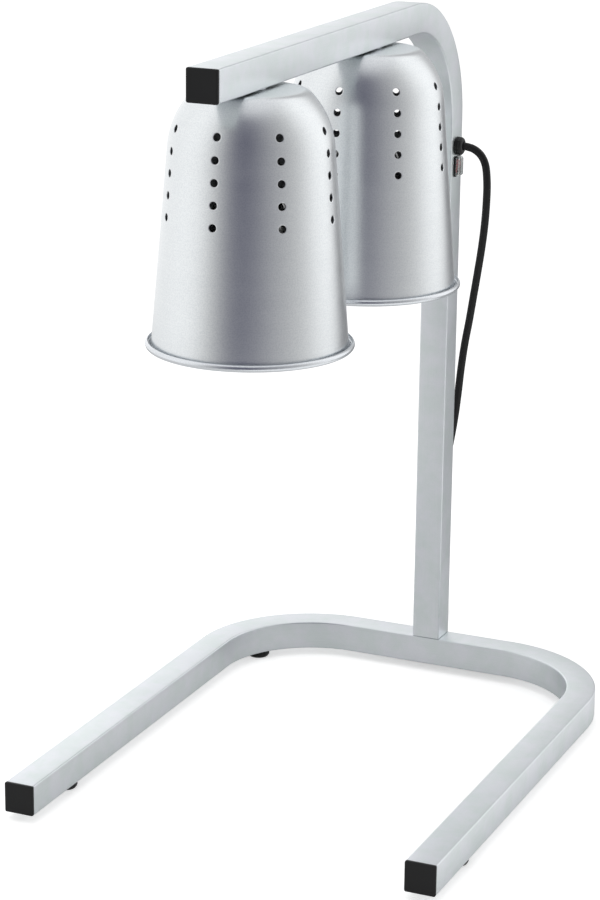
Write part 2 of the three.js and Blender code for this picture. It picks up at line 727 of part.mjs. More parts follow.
// Screw cap with rounded threads and a contact tip, hollow below where the neck goes in.
function capSolid() {
  const shoulder = CAP_HEIGHT - CAP_TIP_HEIGHT - CAP_CONE_HEIGHT;
  const root = CAP_RADIUS - THREAD_RISE;
  const threads = [];
  for (let turn = 0; turn < THREAD_TURNS; turn++) {
    const top = shoulder - turn * THREAD_PITCH;
    threads.push([root, top], [CAP_RADIUS, top - THREAD_PITCH / 2]);
  }
  const hollow = root - CAP_SKIN;
  return turned(
    [
      [0, CAP_HEIGHT],
      [CAP_TIP_RADIUS, CAP_HEIGHT],
      [CAP_TIP_RADIUS, CAP_HEIGHT - CAP_TIP_HEIGHT],
      ...threads,
      [root, shoulder - THREAD_TURNS * THREAD_PITCH],
      [CAP_RADIUS, 0],
      [NECK_RADIUS + SEAT, 0],
      [NECK_RADIUS + SEAT, NECK_DEPTH + SEAT],
      [hollow, NECK_DEPTH + SEAT],
      [hollow, CAP_SOCKET_DEPTH],
      [0, CAP_SOCKET_DEPTH],
    ],
    14,
  );
}

// Glass mount with a flare in the neck, and the filament ring on its arms.
function filamentSolid() {
  const flare = NECK_RADIUS - BULB_SKIN - SEAT;
  const foot = -FILAMENT_DEPTH;
  const mount = turned(
    [
      [0, NECK_DEPTH],
      [flare, NECK_DEPTH],
      [flare, NECK_DEPTH - MOUNT_FLARE_HEIGHT],
      [MOUNT_RADIUS, 0],
      [MOUNT_RADIUS, foot],
      [0, foot - MOUNT_RADIUS],
    ],
    8,
  );
  const ringProfile = roundOutline(FILAMENT_WIRE, 4).map(({ x, y }) => [FILAMENT_RING + x, foot + y]);
  const ring = turned([...ringProfile, ringProfile[0]], 12);
  const arms = Array.from({ length: FILAMENT_ARMS }, (_, i) => {
    const angle = (2 * Math.PI * i) / FILAMENT_ARMS;
    const [x, y] = [FILAMENT_RING * Math.cos(angle), FILAMENT_RING * Math.sin(angle)];
    return bar([0, 0, foot + MOUNT_RADIUS], [x, y, foot], FILAMENT_WIRE / 2, 4);
  });
  return join(mount, ring, ...arms);
}

// Heights below the arm at which a lamp's pieces start, each seated on the one above.
function lampStack() {
  const spacer = -SEAT;
  const shade = spacer - SPACER_HEIGHT - SEAT;
  const clamp = shade - SHADE_WALL - SEAT;
  const holder = clamp - CLAMP_HEIGHT - SEAT;
  const web = holder - HOLDER_NECK - CHAMBER_DEPTH;
  const ceiling = web - WEB_HEIGHT;
  const tongue = ceiling - SEAT - TONGUE_HEIGHT;
  const capEdge = tongue - SEAT - CAP_HEIGHT;
  return { spacer, shade, clamp, holder, web, ceiling, tongue, capEdge };
}

// One lamp, made about its own axis downwards from the arm's underside.
function lamp(side, y) {
  const stack = lampStack();
  const nutSeat = TUBE_WALL + SEAT;
  const nippleTop = nutSeat + NUT_HEIGHT + NIPPLE_RISE;
  const nippleFoot = stack.holder - HOLDER_NECK;
  const nippleBore = roundOutline(NIPPLE_BORE, 12);
  const nipple = upright(roundOutline(NIPPLE_RADIUS, 16), nippleFoot, nippleTop, nippleBore);
  const nutHole = roundOutline(NIPPLE_HOLE_RADIUS, 16);
  const nutRadius = NUT_FLATS / Math.sqrt(3);
  const nut = upright(roundOutline(nutRadius, 6, Math.PI / 6), nutSeat, nutSeat + NUT_HEIGHT, nutHole);
  const ring = (radius, top, height) => upright(roundOutline(radius, 16), top - height, top, nutHole);
  const shellTop = stack.ceiling - SEAT;
  const shell = upright(
    roundOutline(SHELL_RADIUS, 16),
    shellTop - SHELL_HEIGHT,
    shellTop,
    roundOutline(SHELL_RADIUS - SHELL_SKIN, 16),
  );
  const contact = turned(
    [
      [0, stack.web],
      [RIVET_RADIUS, stack.web],
      [RIVET_RADIUS, shellTop],
      [TONGUE_RADIUS, shellTop],
      [TONGUE_RADIUS, stack.tongue],
      [0, stack.tongue],
    ],
    12,
  );
  const bulb = groupOf(
    piece(`${side}_bulb_glass`, glassSolid(), "bulb_glass"),
    piece(`${side}_bulb_cap`, capSolid(), "brass"),
    piece(`${side}_bulb_filament`, filamentSolid(), "tungsten"),
  );
  const members = [
    piece(`${side}_nipple`, nipple, "zinc_steel"),
    piece(`${side}_nipple_nut`, nut, "zinc_steel"),
    piece(`${side}_shade_spacer`, ring(SPACER_RADIUS, stack.spacer, SPACER_HEIGHT), "zinc_steel"),
    placed(piece(`${side}_shade`, shadeSolid(), "spun_aluminium"), [0, 0, stack.shade]),
    piece(`${side}_clamp_washer`, ring(CLAMP_RADIUS, stack.clamp, CLAMP_HEIGHT), "zinc_steel"),
    placed(piece(`${side}_holder`, holderSolid(), "white_ceramic"), [0, 0, stack.holder]),
    piece(`${side}_screw_shell`, shell, "brass"),
    piece(`${side}_centre_contact`, contact, "brass"),
    placed(bulb, [0, 0, stack.capEdge]),
  ];
  return placed(groupOf(...members), [0, y, ARM_UNDERSIDE]);
}

// Cord gland, made pointing up from the post's side face: flanged body, ribbed nut, and the nut inside.
function gland() {
  const bore = roundOutline(CORD_RADIUS + SEAT, 12);
  const flangeTop = SEAT + GLAND_FLANGE;
  const shankEnd = -GLAND_SHANK_LENGTH;
  const body = join(
    upright(roundOutline(GLAND_RADIUS, 20), SEAT, flangeTop, bore),
    upright(roundOutline(GLAND_SHANK_RADIUS, 16), shankEnd, flangeTop - SEAT, bore),
  );
  const nutFoot = flangeTop + SEAT;
  const nutTop = nutFoot + GLAND_NUT_LENGTH;
  const root = GLAND_RADIUS - GLAND_RIB_RISE;
  const dome = turned(
    [
      [CORD_RADIUS + SEAT, nutFoot],
      [root, nutFoot],
      [root, nutTop - GLAND_NUT_ROUND],
      [root - GLAND_NUT_ROUND / 3, nutTop - GLAND_NUT_ROUND / 3],
      [root - GLAND_NUT_ROUND, nutTop],
      [CORD_RADIUS + SEAT, nutTop],
      [CORD_RADIUS + SEAT, nutFoot],
    ],
    16,
  );
  const ribs = Array.from({ length: GLAND_NUT_RIBS }, (_, i) => {
    const angle = (2 * Math.PI * i) / GLAND_NUT_RIBS;
    const [x, y] = [root * Math.cos(angle), root * Math.sin(angle)];
    return bar([x, y, nutFoot], [x, y, nutTop - GLAND_NUT_ROUND], GLAND_RIB_RISE, 4);
  });
  const lockTop = -TUBE_WALL - SEAT;
  const lockNut = upright(
    roundOutline(GLAND_LOCK_FLATS / Math.sqrt(3), 6, Math.PI / 6),
    lockTop - GLAND_LOCK_HEIGHT,
    lockTop,
    roundOutline(GLAND_SHANK_RADIUS + SEAT, 16),
  );
  const members = [
    piece("gland_body", body, "black_plastic"),
    piece("gland_nut", join(dome, ...ribs), "black_plastic"),
    piece("gland_lock_nut", lockNut, "black_plastic"),
  ];
  return placed(groupOf(...members), [HALF_TUBE, POST_Y, GLAND_HEIGHT], [0, Math.PI / 2, 0]);
}

// Height of the rocker's pivot over the post's face, which its joint turns about.
const PIVOT_RISE = SEAT + BEZEL_RISE + ROCKER_RISE - ROCKER_DEPTH / 2;

// The rocker's section across its pivot: two faces that fall away from the middle, over a rounded foot.
function rockerSolid() {
  const half = ROCKER_HEIGHT / 2;
  const fall = half * Math.tan(radians(ROCKER_TILT));
  const crown = ROCKER_DEPTH / 2;
  const foot = -ROCKER_DEPTH / 2;
  const outline = [
    [half, crown - 2 * fall],
    [0, crown],
    [-half, crown],
    [-half, crown - fall - ROCKER_GAP],
    [-half / 2, foot],
    [half / 2, foot],
    [half, crown - 2 * fall - ROCKER_GAP],
  ].map(([along, up]) => new THREE.Vector2(along, up));
  return upright(outline, -ROCKER_WIDTH / 2, ROCKER_WIDTH / 2);
}

// Rocker switch, made pointing up from the post's side face, its long side along X.
function rockerSwitch() {
  const wellHeight = ROCKER_HEIGHT + 4 * ROCKER_GAP;
  const wellWidth = ROCKER_WIDTH + 2 * ROCKER_GAP;
  const bezelTop = SEAT + BEZEL_RISE;
  const well = block(
    [wellHeight, wellWidth, bezelTop + SWITCH_BODY_DEPTH - SWITCH_FLOOR + OVERRUN],
    [0, 0, (bezelTop + OVERRUN - SWITCH_BODY_DEPTH + SWITCH_FLOOR) / 2],
  );
  const bodyTop = SEAT + BEZEL_RISE / 2;
  const blades = [-1, 1].map((side) =>
    block(
      [BLADE_THICKNESS, BLADE_WIDTH, BLADE_LENGTH + SWITCH_FLOOR / 2],
      [(side * BLADE_SPREAD) / 2, 0, -SWITCH_BODY_DEPTH - (BLADE_LENGTH - SWITCH_FLOOR / 2) / 2],
    ),
  );
  const bezel = roundedOutline(BEZEL_HEIGHT, BEZEL_WIDTH, BEZEL_CORNER);
  const body = roundedOutline(SWITCH_BODY_HEIGHT, SWITCH_BODY_WIDTH, BEZEL_CORNER / 2);
  const shell = join(upright(bezel, SEAT, bezelTop), upright(body, -SWITCH_BODY_DEPTH, bodyTop));
  const housing = join(cut(shell, well), ...blades);
  const rocker = placed(groupOf(piece("switch_rocker", rockerSolid(), "red_plastic")), [0, 0, PIVOT_RISE], [
    Math.PI / 2,
    0,
    0,
  ]);
  const bootFoot = bezelTop + SEAT;
  const bootHeight = BEZEL_HEIGHT - 2 * BOOT_INSET;
  const bootWidth = BEZEL_WIDTH - 2 * BOOT_INSET;
  const dome = (inset, from, to) =>
    upright(roundedOutline(bootHeight - 2 * inset, bootWidth - 2 * inset, BOOT_CORNER - inset, 2), from, to);
  const bootTop = bootFoot + BOOT_RISE;
  const boot = cut(
    join(dome(0, bootFoot, bootTop - BOOT_SKIN), dome(BOOT_SKIN / 2, bootFoot, bootTop)),
    dome(BOOT_SKIN, bootFoot - OVERRUN, bootTop - BOOT_SKIN),
  );
  const members = [
    piece("switch_housing", housing, "black_plastic"),
    rocker,
    piece("switch_boot", boot, "clear_silicone"),
  ];
  return placed(groupOf(...members), [HALF_TUBE, POST_Y, SWITCH_HEIGHT], [0, Math.PI / 2, 0]);
}

// A round lead through hand-chosen points, with a station at each.
function leadThrough(points, radius, sides) {
  const curve = new THREE.CatmullRomCurve3(
    points.map((point) => new THREE.Vector3(...point)),
    false,
    "centripetal",
  );
  const last = points.length - 1;
  const stations = Array.from({ length: last + 1 }, (_, i) => ({
    point: curve.getPoint(i / last),
    tangent: curve.getTangent(i / last),
  }));
  return alongStations(roundOutline(radius, sides), stations);
}

// Terminal block against the post's left wall, and the leads between cord, switch and lamps.
function wiring() {
  const leadX = -(HALF_BORE - LEAD_ROOM - LEAD_RADIUS);
  const blockTop = BLOCK_Z + BLOCK_HEIGHT / 2;
  const leadFoot = blockTop + SEAT;
  const leadY = (place) => POST_Y + (place - 1.5) * LEAD_PITCH;
  const blockX = -(HALF_BORE - SEAT - BLOCK_DEPTH / 2);
  const clampBlock = block([BLOCK_DEPTH, BLOCK_WIDTH, BLOCK_HEIGHT], [blockX, POST_Y, BLOCK_Z]);
  const wells = [-1, 0, 1].map((place) =>
    bar(
      [blockX, POST_Y + place * LEAD_PITCH, BLOCK_Z],
      [HALF_BORE, POST_Y + place * LEAD_PITCH, BLOCK_Z],
      LEAD_RADIUS,
      8,
    ),
  );
  const coreStart = HALF_TUBE - GLAND_SHANK_LENGTH - SEAT;
  const supply = leadThrough(
    [
      [coreStart, POST_Y, GLAND_HEIGHT],
      [coreStart - 3 * LEAD_RADIUS, POST_Y - LEAD_RADIUS, GLAND_HEIGHT - LEAD_RADIUS / 2],
      [leadX + 3 * LEAD_RADIUS, leadY(0) + 2 * LEAD_RADIUS, GLAND_HEIGHT - 3 * LEAD_RADIUS],
      [leadX + LEAD_RADIUS / 2, leadY(0), GLAND_HEIGHT - 7 * LEAD_RADIUS],
      [leadX, leadY(0), GLAND_HEIGHT - 12 * LEAD_RADIUS],
      [leadX, leadY(0), leadFoot],
    ],
    LEAD_RADIUS,
    LEAD_SIDES,
  );
  const bladeEnd = HALF_TUBE - SWITCH_BODY_DEPTH - BLADE_LENGTH - SEAT;
  const bladeZ = SWITCH_HEIGHT - BLADE_SPREAD / 2;
  const switchLead = leadThrough(
    [
      [bladeEnd - LEAD_RADIUS, POST_Y + LEAD_RADIUS, bladeZ - LEAD_RADIUS],
      [bladeEnd - LEAD_RADIUS, POST_Y + 2 * LEAD_RADIUS, bladeZ - 4 * LEAD_RADIUS],
      [leadX + LEAD_RADIUS, leadY(3) - LEAD_RADIUS / 2, bladeZ - 9 * LEAD_RADIUS],
      [leadX, leadY(3), leadFoot],
    ],
    LEAD_RADIUS,
    LEAD_SIDES,
  );
  return [
    piece("terminal_block", cut(clampBlock, ...wells), "pale_plastic"),
    piece("supply_core", supply, "sleeve"),
    piece("switch_lead", switchLead, "sleeve"),
    lampLead("front", FRONT_SHADE_Y, leadX, leadY(1), leadFoot),
    lampLead("rear", REAR_SHADE_Y, leadX, leadY(2), leadFoot),
  ];
}

// A lamp's lead: up the post, round the bend, along the arm, and down through its nipple to the holder.
function lampLead(side, shadeY, x, y, startZ) {
  const radius = y - (POST_Y - BEND_RADIUS);
  const armZ = ARM_Z - BEND_RADIUS + radius;
  const corners = [
    [x, y, startZ],
    [x, y, armZ],
    [x, shadeY + 5 * LEAD_TURN, armZ],
    [0, shadeY + 3 * LEAD_TURN, armZ],
    [0, shadeY, armZ],
    [0, shadeY, ARM_UNDERSIDE + lampStack().web + SEAT],
  ];
  const turn = [LEAD_TURN, TURN_STEPS];
  const stations = bentStations(corners, [[radius, BEND_STEPS], turn, turn, turn]);
  return piece(`${side}_lead`, alongStations(roundOutline(LEAD_RADIUS, LEAD_SIDES), stations), "sleeve");
}

// The cord's way down, hand-chosen. Out of the gland to the right: [x, y, drop below the gland].
const GLAND_ROUTE = [
  [25.5, 279, 0.1],
  [34, 279, 2.2],
  [41.4, 279, 7.6],
  [46.4, 279, 16.5],
  [48.8, 279.3, 34],
];

// In behind the post: [x, y], and their heights as shares of the gland's.
const FALL_ROUTE = [
  [48.7, 280],
  [47, 281.5],
  [43.5, 284],
  [39.1, 286.4],
  [34.3, 289.1],
  [29.3, 292.2],
  [24, 294.7],
  [19.9, 297],
  [16.6, 299.2],
  [12.7, 301.8],
  [7.5, 304.2],
  [0, 306.4],
  [-8, 308],
  [-15.5, 308.9],
  [-21.5, 309.2],
  [-24.6, 309.2],
];
const FALL_SHARES = [
  0.904, 0.862, 0.816, 0.77, 0.724, 0.676, 0.629, 0.582,
  0.534, 0.486, 0.436, 0.375, 0.314, 0.253, 0.188, 0.129,
];

// On to the hank: [x, y, z].
const LANDING_ROUTE = [
  [-25, 309.2, 46.1],
  [-22.5, 309.2, 33.7],
  [-15.5, 309.2, 23.1],
  [-4.9, 309.2, 16.1],
  [7.5, 309.2, 13.6],
];

// The tail's way, hand-chosen: up and over the hank's outer run, and back to the plug behind the post.
const TAIL_ROUTE = [
  [7.2, 346.2, 5.6],
  [-0.5, 347.5, 8.6],
  [-8.5, 349.3, 11.8],
  [-19.1, 353, 13.7],
  [-28.3, 360.3, 14.2],
  [-34.3, 370.3, 14],
  [-37.2, 378, 13.3],
  [-40, 385.4, 12.8],
  [-42.8, 392.8, 13.6],
];

// Where the hank lies, from its own sizes: against the rear bar, on the tie that goes round it.
const HANK_LOW_Z = TIE_SKIN + TIE_ROOM + CORD_RADIUS;
const HANK_TOP_Z = HANK_LOW_Z + HANK_LIFT;
const HANK_RIGHT = HANK_MIDDLE + HANK_RUN / 2;
const HANK_LEFT = HANK_MIDDLE - HANK_RUN / 2;
const nearLane = (lane) => REAR_Y + HANK_GAP + CORD_RADIUS + lane * HANK_SIDE_STEP;
const farLane = (lane) => nearLane(lane) + 2 * HANK_FOLD;
const waist = (x) => HANK_WAIST * Math.sin((Math.PI * (x - HANK_LEFT)) / HANK_RUN) ** 2;

// The hank: one loop on top, a climb down along a near run, and two loops below it that spiral in.
class HankCurve extends THREE.Curve {
  constructor() {
    super();
    this.legs = [
      this.nearRun(0, HANK_MIDDLE),
      this.fold(HANK_RIGHT, nearLane(0), farLane(0)),
      this.farRun(0, HANK_LEFT),
      this.fold(HANK_LEFT, farLane(0), nearLane(0)),
      this.nearRun(0, HANK_LEFT),
      this.fold(HANK_RIGHT, nearLane(0), farLane(2)),
      this.farRun(2, HANK_LEFT),
      this.fold(HANK_LEFT, farLane(2), nearLane(1)),
      this.nearRun(1, HANK_LEFT),
      this.fold(HANK_RIGHT, nearLane(1), farLane(1)),
      this.farRun(1, HANK_MIDDLE),
    ];
    this.legs.reduce((start, leg) => {
      leg.start = start;
      return start + leg.length;
    }, 0);
    const { start, length } = this.legs.at(-1);
    this.total = start + length;
    this.climb = this.legs[4];
  }
  nearRun(lane, fromX) {
    const length = HANK_RIGHT - fromX;
    const at = (way) => [fromX + way, nearLane(lane) + waist(fromX + way), nearLane(lane)];
    return { length, at, steps: RUN_STEPS };
  }
  farRun(lane, toX) {
    const length = HANK_RIGHT - toX;
    const at = (way) => [HANK_RIGHT - way, farLane(lane) - waist(HANK_RIGHT - way), farLane(lane)];
    return { length, at, steps: RUN_STEPS };
  }
  fold(middleX, fromY, toY) {
    const radius = Math.abs(toY - fromY) / 2;
    const middleY = (fromY + toY) / 2;
    const at = (way) => {
      const angle = way / radius + (fromY < toY ? -Math.PI / 2 : Math.PI / 2);
      const y = middleY + radius * Math.sin(angle);
      return [middleX + radius * Math.cos(angle), y, y];
    };
    return { length: Math.PI * radius, at, steps: FOLD_STEPS };
  }
  getPoint(t, target = new THREE.Vector3()) {
    const way = t * this.total;
    const leg = this.legs.findLast(({ start }) => start <= way);
    const [x, y, lane] = leg.at(way - leg.start);
    const { start, length } = this.climb;
    const high = 1 - THREE.MathUtils.smoothstep(way, start, start + length / 2);
    const far = THREE.MathUtils.smoothstep(lane, farLane(0) - 4 * CORD_RADIUS, farLane(0));
    return target.set(x, y, HANK_LOW_Z + high * (HANK_LIFT - HANK_NESTLE * far));
  }
  stations() {
    const ways = this.legs.flatMap(({ start, length, steps }) =>
      Array.from({ length: steps }, (_, i) => start + (length * i) / steps),
    );
    return [...ways, this.total].map((way) => ({
      point: this.getPoint(way / this.total),
      tangent: this.getTangent(way / this.total),
    }));
  }
}

// The least gap between a cord's surfaces, at points along it that are three diameters or more apart.
function leastGap(curve, radius) {
  const points = curve.getPoints(GAP_POINTS);
  const apart = Math.ceil((6 * radius * GAP_POINTS) / curve.getLength());
  let least = Infinity;
  points.forEach((point, i) => {
    points.slice(i + apart).forEach((other) => {
      least = Math.min(least, point.distanceTo(other));
    });
  });
  return least - 2 * radius;
}

// Mains plug, made with its pins pointing up +Z and its cord end at the origin.
function mainsPlug() {
  const gripFoot = RELIEF_LENGTH;
  const faceFoot = gripFoot + GRIP_LENGTH;
  const face = faceFoot + FACE_LENGTH;
  const ringed = [];
  for (let i = 0; i < RELIEF_RINGS; i++) {
    const z = (RELIEF_LENGTH * (i + 0.5)) / RELIEF_RINGS;
    const radius = THREE.MathUtils.lerp(RELIEF_END_RADIUS, RELIEF_RADIUS, z / RELIEF_LENGTH);
    ringed.push([radius + RELIEF_RING_RISE, z], [radius, z + RELIEF_LENGTH / (2 * RELIEF_RINGS)]);
  }
  const body = turned(
    [
      [0, 0],
      [RELIEF_END_RADIUS, 0],
      ...ringed,
      [GRIP_RADIUS, gripFoot + RELIEF_RING_RISE],
      [GRIP_RADIUS, faceFoot - FACE_EDGE],
      [FACE_RADIUS, faceFoot + FACE_EDGE],
      [FACE_RADIUS, face - FACE_EDGE],
      [FACE_RADIUS - FACE_EDGE, face],
      [0, face],
    ],
    PLUG_SIDES,
  );
  const pinPlaces = [-1, 1].map((side) => (side * PIN_SPREAD) / 2);
  const pinHoles = pinPlaces.map((x) =>
    bar([x, 0, face - PIN_SOCKET], [x, 0, face + OVERRUN], PIN_RADIUS + SEAT, 10),
  );
  const earthHole = bar(
    [0, -EARTH_HOLE_OFFSET, face - EARTH_HOLE_DEPTH],
    [0, -EARTH_HOLE_OFFSET, face + OVERRUN],
    EARTH_HOLE_RADIUS,
    10,
  );
  const slotOut = FACE_RADIUS + OVERRUN;
  const slotIn = FACE_RADIUS - EARTH_SLOT_DEPTH;
  const slotFoot = faceFoot + 2 * FACE_EDGE;
  const slots = [-1, 1].map((side) =>
    block(
      [EARTH_WIDTH + 2 * SEAT, slotOut - slotIn, face - slotFoot + OVERRUN],
      [0, (side * (slotOut + slotIn)) / 2, (slotFoot + face + OVERRUN) / 2],
    ),
  );
  const pin = turned(
    [
      [0, face - PIN_SOCKET + SEAT],
      [PIN_RADIUS, face - PIN_SOCKET + SEAT],
      [PIN_RADIUS, face + PIN_LENGTH - PIN_RADIUS],
      [PIN_RADIUS / 2, face + PIN_LENGTH],
      [0, face + PIN_LENGTH],
    ],
    10,
  );
  const clip = (side) =>
    block(
      [EARTH_WIDTH, EARTH_SKIN, face - slotFoot - 2 * SEAT],
      [0, side * (slotIn + SEAT + EARTH_SKIN / 2), (slotFoot + face) / 2],
    );
  return groupOf(
    piece("plug_body", cut(body, ...pinHoles, earthHole, ...slots), "black_plastic"),
    placed(piece("plug_pin_left", pin, "nickel"), [pinPlaces[0], 0, 0]),
    placed(piece("plug_pin_right", pin, "nickel"), [pinPlaces[1], 0, 0]),
    piece("plug_earth_left", clip(-1), "nickel"),
    piece("plug_earth_right", clip(1), "nickel"),
  );
}

// The mains cord: a drop from the gland, the hank behind the rear bar with its tie, a tail, and the plug.
function mainsCord() {
  const glandFace = HALF_TUBE + GLAND_FLANGE + GLAND_NUT_LENGTH + 2 * SEAT;
  const joinX = HANK_MIDDLE - SEAT;
  const drop = [
    [glandFace - GLAND_BITE, POST_Y, GLAND_HEIGHT],
    [glandFace + SEAT, POST_Y, GLAND_HEIGHT],
    ...GLAND_ROUTE.map(([x, y, drop]) => [x, y, GLAND_HEIGHT - drop]),
    ...FALL_ROUTE.map(([x, y], i) => [x, y, FALL_SHARES[i] * GLAND_HEIGHT]),
    ...LANDING_ROUTE,
    [joinX, nearLane(0) + HANK_WAIST, HANK_TOP_Z],
  ];
  const tail = [[joinX, farLane(1) - HANK_WAIST, HANK_LOW_Z], ...TAIL_ROUTE];
  const hank = new HankCurve();
  const gap = leastGap(hank, CORD_RADIUS);
  console.log(`hank ${hank.getLength().toFixed(0)} mm long, least gap to itself ${gap.toFixed(2)} mm`);
  if (gap < SEAT) throw new Error("the hank's loops touch");
  const section = roundOutline(CORD_RADIUS, HANK_SIDES, Math.PI / HANK_SIDES);
  const [end, before] = [new THREE.Vector3(...tail.at(-1)), new THREE.Vector3(...tail.at(-2))];
  return [
    piece("cord_drop", leadThrough(drop, CORD_RADIUS, CORD_SIDES), "black_rubber"),
    piece("cord_hank", alongStations(section, hank.stations()), "black_rubber"),
    piece("cord_tail", leadThrough(tail, CORD_RADIUS, CORD_SIDES), "black_rubber"),
    hankTie(),
    plugAt(end, end.clone().sub(before).normalize()),
  ];
}

// The plug at the tail's end, along the tail, with its pins side by side.
function plugAt(end, way) {
  const across = new THREE.Vector3(way.y, -way.x, 0).normalize();
  const plug = mainsPlug();
  plug.position.copy(end).addScaledVector(way, SEAT);
  const basis = new THREE.Matrix4().makeBasis(across, way.clone().cross(across), way);
  plug.quaternion.setFromRotationMatrix(basis);
  return plug;
}

// A strap pulled tight round the hank's waist: the hull of its cords, less the same hull a skin further in.
function hankTie() {
  const places = [
    [nearLane(0) + HANK_WAIST, HANK_TOP_Z],
    [nearLane(0) + HANK_WAIST, HANK_LOW_Z],
    [farLane(0) - HANK_WAIST, HANK_TOP_Z - HANK_NESTLE],
    [farLane(2) - HANK_WAIST, HANK_LOW_Z],
  ];
  const hull = (radius, width) => {
    const ring = roundOutline(radius, TIE_SIDES, Math.PI / TIE_SIDES);
    const edge = (x) =>
      places.flatMap(([y, z]) => ring.map((corner) => new THREE.Vector3(x, y + corner.x, z + corner.y)));
    const [left, right] = [HANK_MIDDLE - width / 2, HANK_MIDDLE + width / 2];
    return solidOf(new ConvexGeometry([...edge(left), ...edge(right)]));
  };
  const inner = CORD_RADIUS + TIE_ROOM;
  const strap = cut(hull(inner + TIE_SKIN, TIE_WIDTH), hull(inner, TIE_WIDTH + 2 * OVERRUN));
  return piece("hank_tie", strap, "black_plastic");
}

const warmer = new THREE.Group();
warmer.add(
  baseFrame(),
  postArm(),
  ...endPlugs(),
  ...footPlaces().map((place, i) => foot(i + 1, place)),
  postJoint(),
  lamp("front", FRONT_SHADE_Y),
  lamp("rear", REAR_SHADE_Y),
  gland(),
  rockerSwitch(),
  ...wiring(),
  ...mainsCord(),
);
export default warmer;
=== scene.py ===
"""Two-lamp food warming stand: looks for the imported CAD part, in metres, in its frame."""
import json
import math

import bpy
import numpy as np
from mathutils import Matrix, Vector

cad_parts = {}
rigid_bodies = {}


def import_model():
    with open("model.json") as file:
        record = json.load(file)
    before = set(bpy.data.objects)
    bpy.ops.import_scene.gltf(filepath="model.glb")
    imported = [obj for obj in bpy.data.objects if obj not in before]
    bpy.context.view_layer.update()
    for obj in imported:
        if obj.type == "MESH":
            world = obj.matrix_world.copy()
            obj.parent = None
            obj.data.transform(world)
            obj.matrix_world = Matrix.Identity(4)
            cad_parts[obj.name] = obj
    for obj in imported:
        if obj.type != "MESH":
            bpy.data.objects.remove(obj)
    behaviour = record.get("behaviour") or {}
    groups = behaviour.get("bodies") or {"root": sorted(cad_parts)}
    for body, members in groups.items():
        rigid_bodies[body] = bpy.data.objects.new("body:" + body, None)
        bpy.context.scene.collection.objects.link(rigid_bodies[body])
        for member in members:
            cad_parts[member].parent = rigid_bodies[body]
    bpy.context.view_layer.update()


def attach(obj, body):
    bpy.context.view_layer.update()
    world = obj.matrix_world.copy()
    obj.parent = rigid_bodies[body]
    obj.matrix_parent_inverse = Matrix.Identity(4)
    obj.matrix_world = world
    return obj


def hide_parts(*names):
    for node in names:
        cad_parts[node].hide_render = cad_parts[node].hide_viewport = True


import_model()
MM = 0.001
UP = np.array([0.0, 0.0, 1.0])
# Sizes and places in millimetres, all as in the CAD part but for the tube's corner, crisp as in the photograph
TUBE, CORNER, BORE = 30.0, 1.7, 27.0
REAR_Y, FRONT_Y, POST_Y = 294.0, -294.0, 279.0
LEG_X, LEG_FRONT_Y, BAR_Z, BEND = 203.0, -268.0, 23.0, 115.0
POST_FOOT, ARM_Z, ARM_UNDER = 38.3, 718.0, 703.0
PLUG_HEAD = 3.3  # how far an end plug stands out of its tube
LEG_END, ARM_END = LEG_FRONT_Y + PLUG_HEAD, FRONT_Y + PLUG_HEAD
SHADES = {"front": -194.0, "rear": 71.0}
GLAND_Z, SWITCH_Z = 574.0, 553.0
CORD_R, NIPPLE_R, GLAND_BORE = 4.0, 5.2, 4.3
AXIS = 0.05  # a turned piece's smallest radius, where it closes on its axis


def in_scene(name, data):
    o = bpy.data.objects.new(name, data)
    bpy.context.scene.collection.objects.link(o)
    return o


def unit(v):
    return v / np.linalg.norm(v)


# --- Camera: at the photograph's angle, found from the tube's edges and the shades' rims
AZIMUTH, ELEVATION, ROLL = 23.617, 16.759, 0.673
CAMERA_PLACE = (1.01096, -2.39199, 1.10270)
FOCAL_PIXELS, PICTURE_PIXELS, SENSOR_MM = 2801.75, 900, 36.0


def camera():
    az, el, roll = np.radians([AZIMUTH, ELEVATION, ROLL])
    back = np.array([np.sin(az) * np.cos(el), -np.cos(az) * np.cos(el), np.sin(el)])
    right = unit(np.cross(UP, back))
    up = np.cross(back, right)
    c, s = np.cos(roll), np.sin(roll)
    axes = np.array([c * right + s * up, -s * right + c * up, back])
    data = bpy.data.cameras.new("camera")
    data.sensor_width = SENSOR_MM
    data.lens = FOCAL_PIXELS / PICTURE_PIXELS * SENSOR_MM
    data.clip_start, data.clip_end = 0.1, 50
    o = in_scene("camera", data)
    m = Matrix.Identity(4)
    for i, place in enumerate(CAMERA_PLACE):
        m[i] = (*axes[:, i], place)
    o.matrix_world = m
    bpy.context.scene.camera = o


camera()


# --- Mesh helpers: all take millimetres
def mesh_object(name, verts, faces, uvs, sharp=35.0):
    """A smooth mesh with edges over an angle kept sharp; uvs holds one pair per face corner."""
    me = bpy.data.meshes.new(name)
    me.from_pydata((np.asarray(verts, float) * MM).tolist(), [], faces)
    me.uv_layers.new(name="UVMap").data.foreach_set("uv", (np.asarray(uvs, float) * MM).ravel())
    me.polygons.foreach_set("use_smooth", [True] * len(me.polygons))
    me.set_sharp_from_angle(angle=math.radians(sharp))
    me.update()
    return in_scene(name, me)


def lengths(points):
    """How far along a line each of its points is."""
    return np.concatenate([[0], np.cumsum(np.linalg.norm(np.diff(points, axis=0), axis=1))])


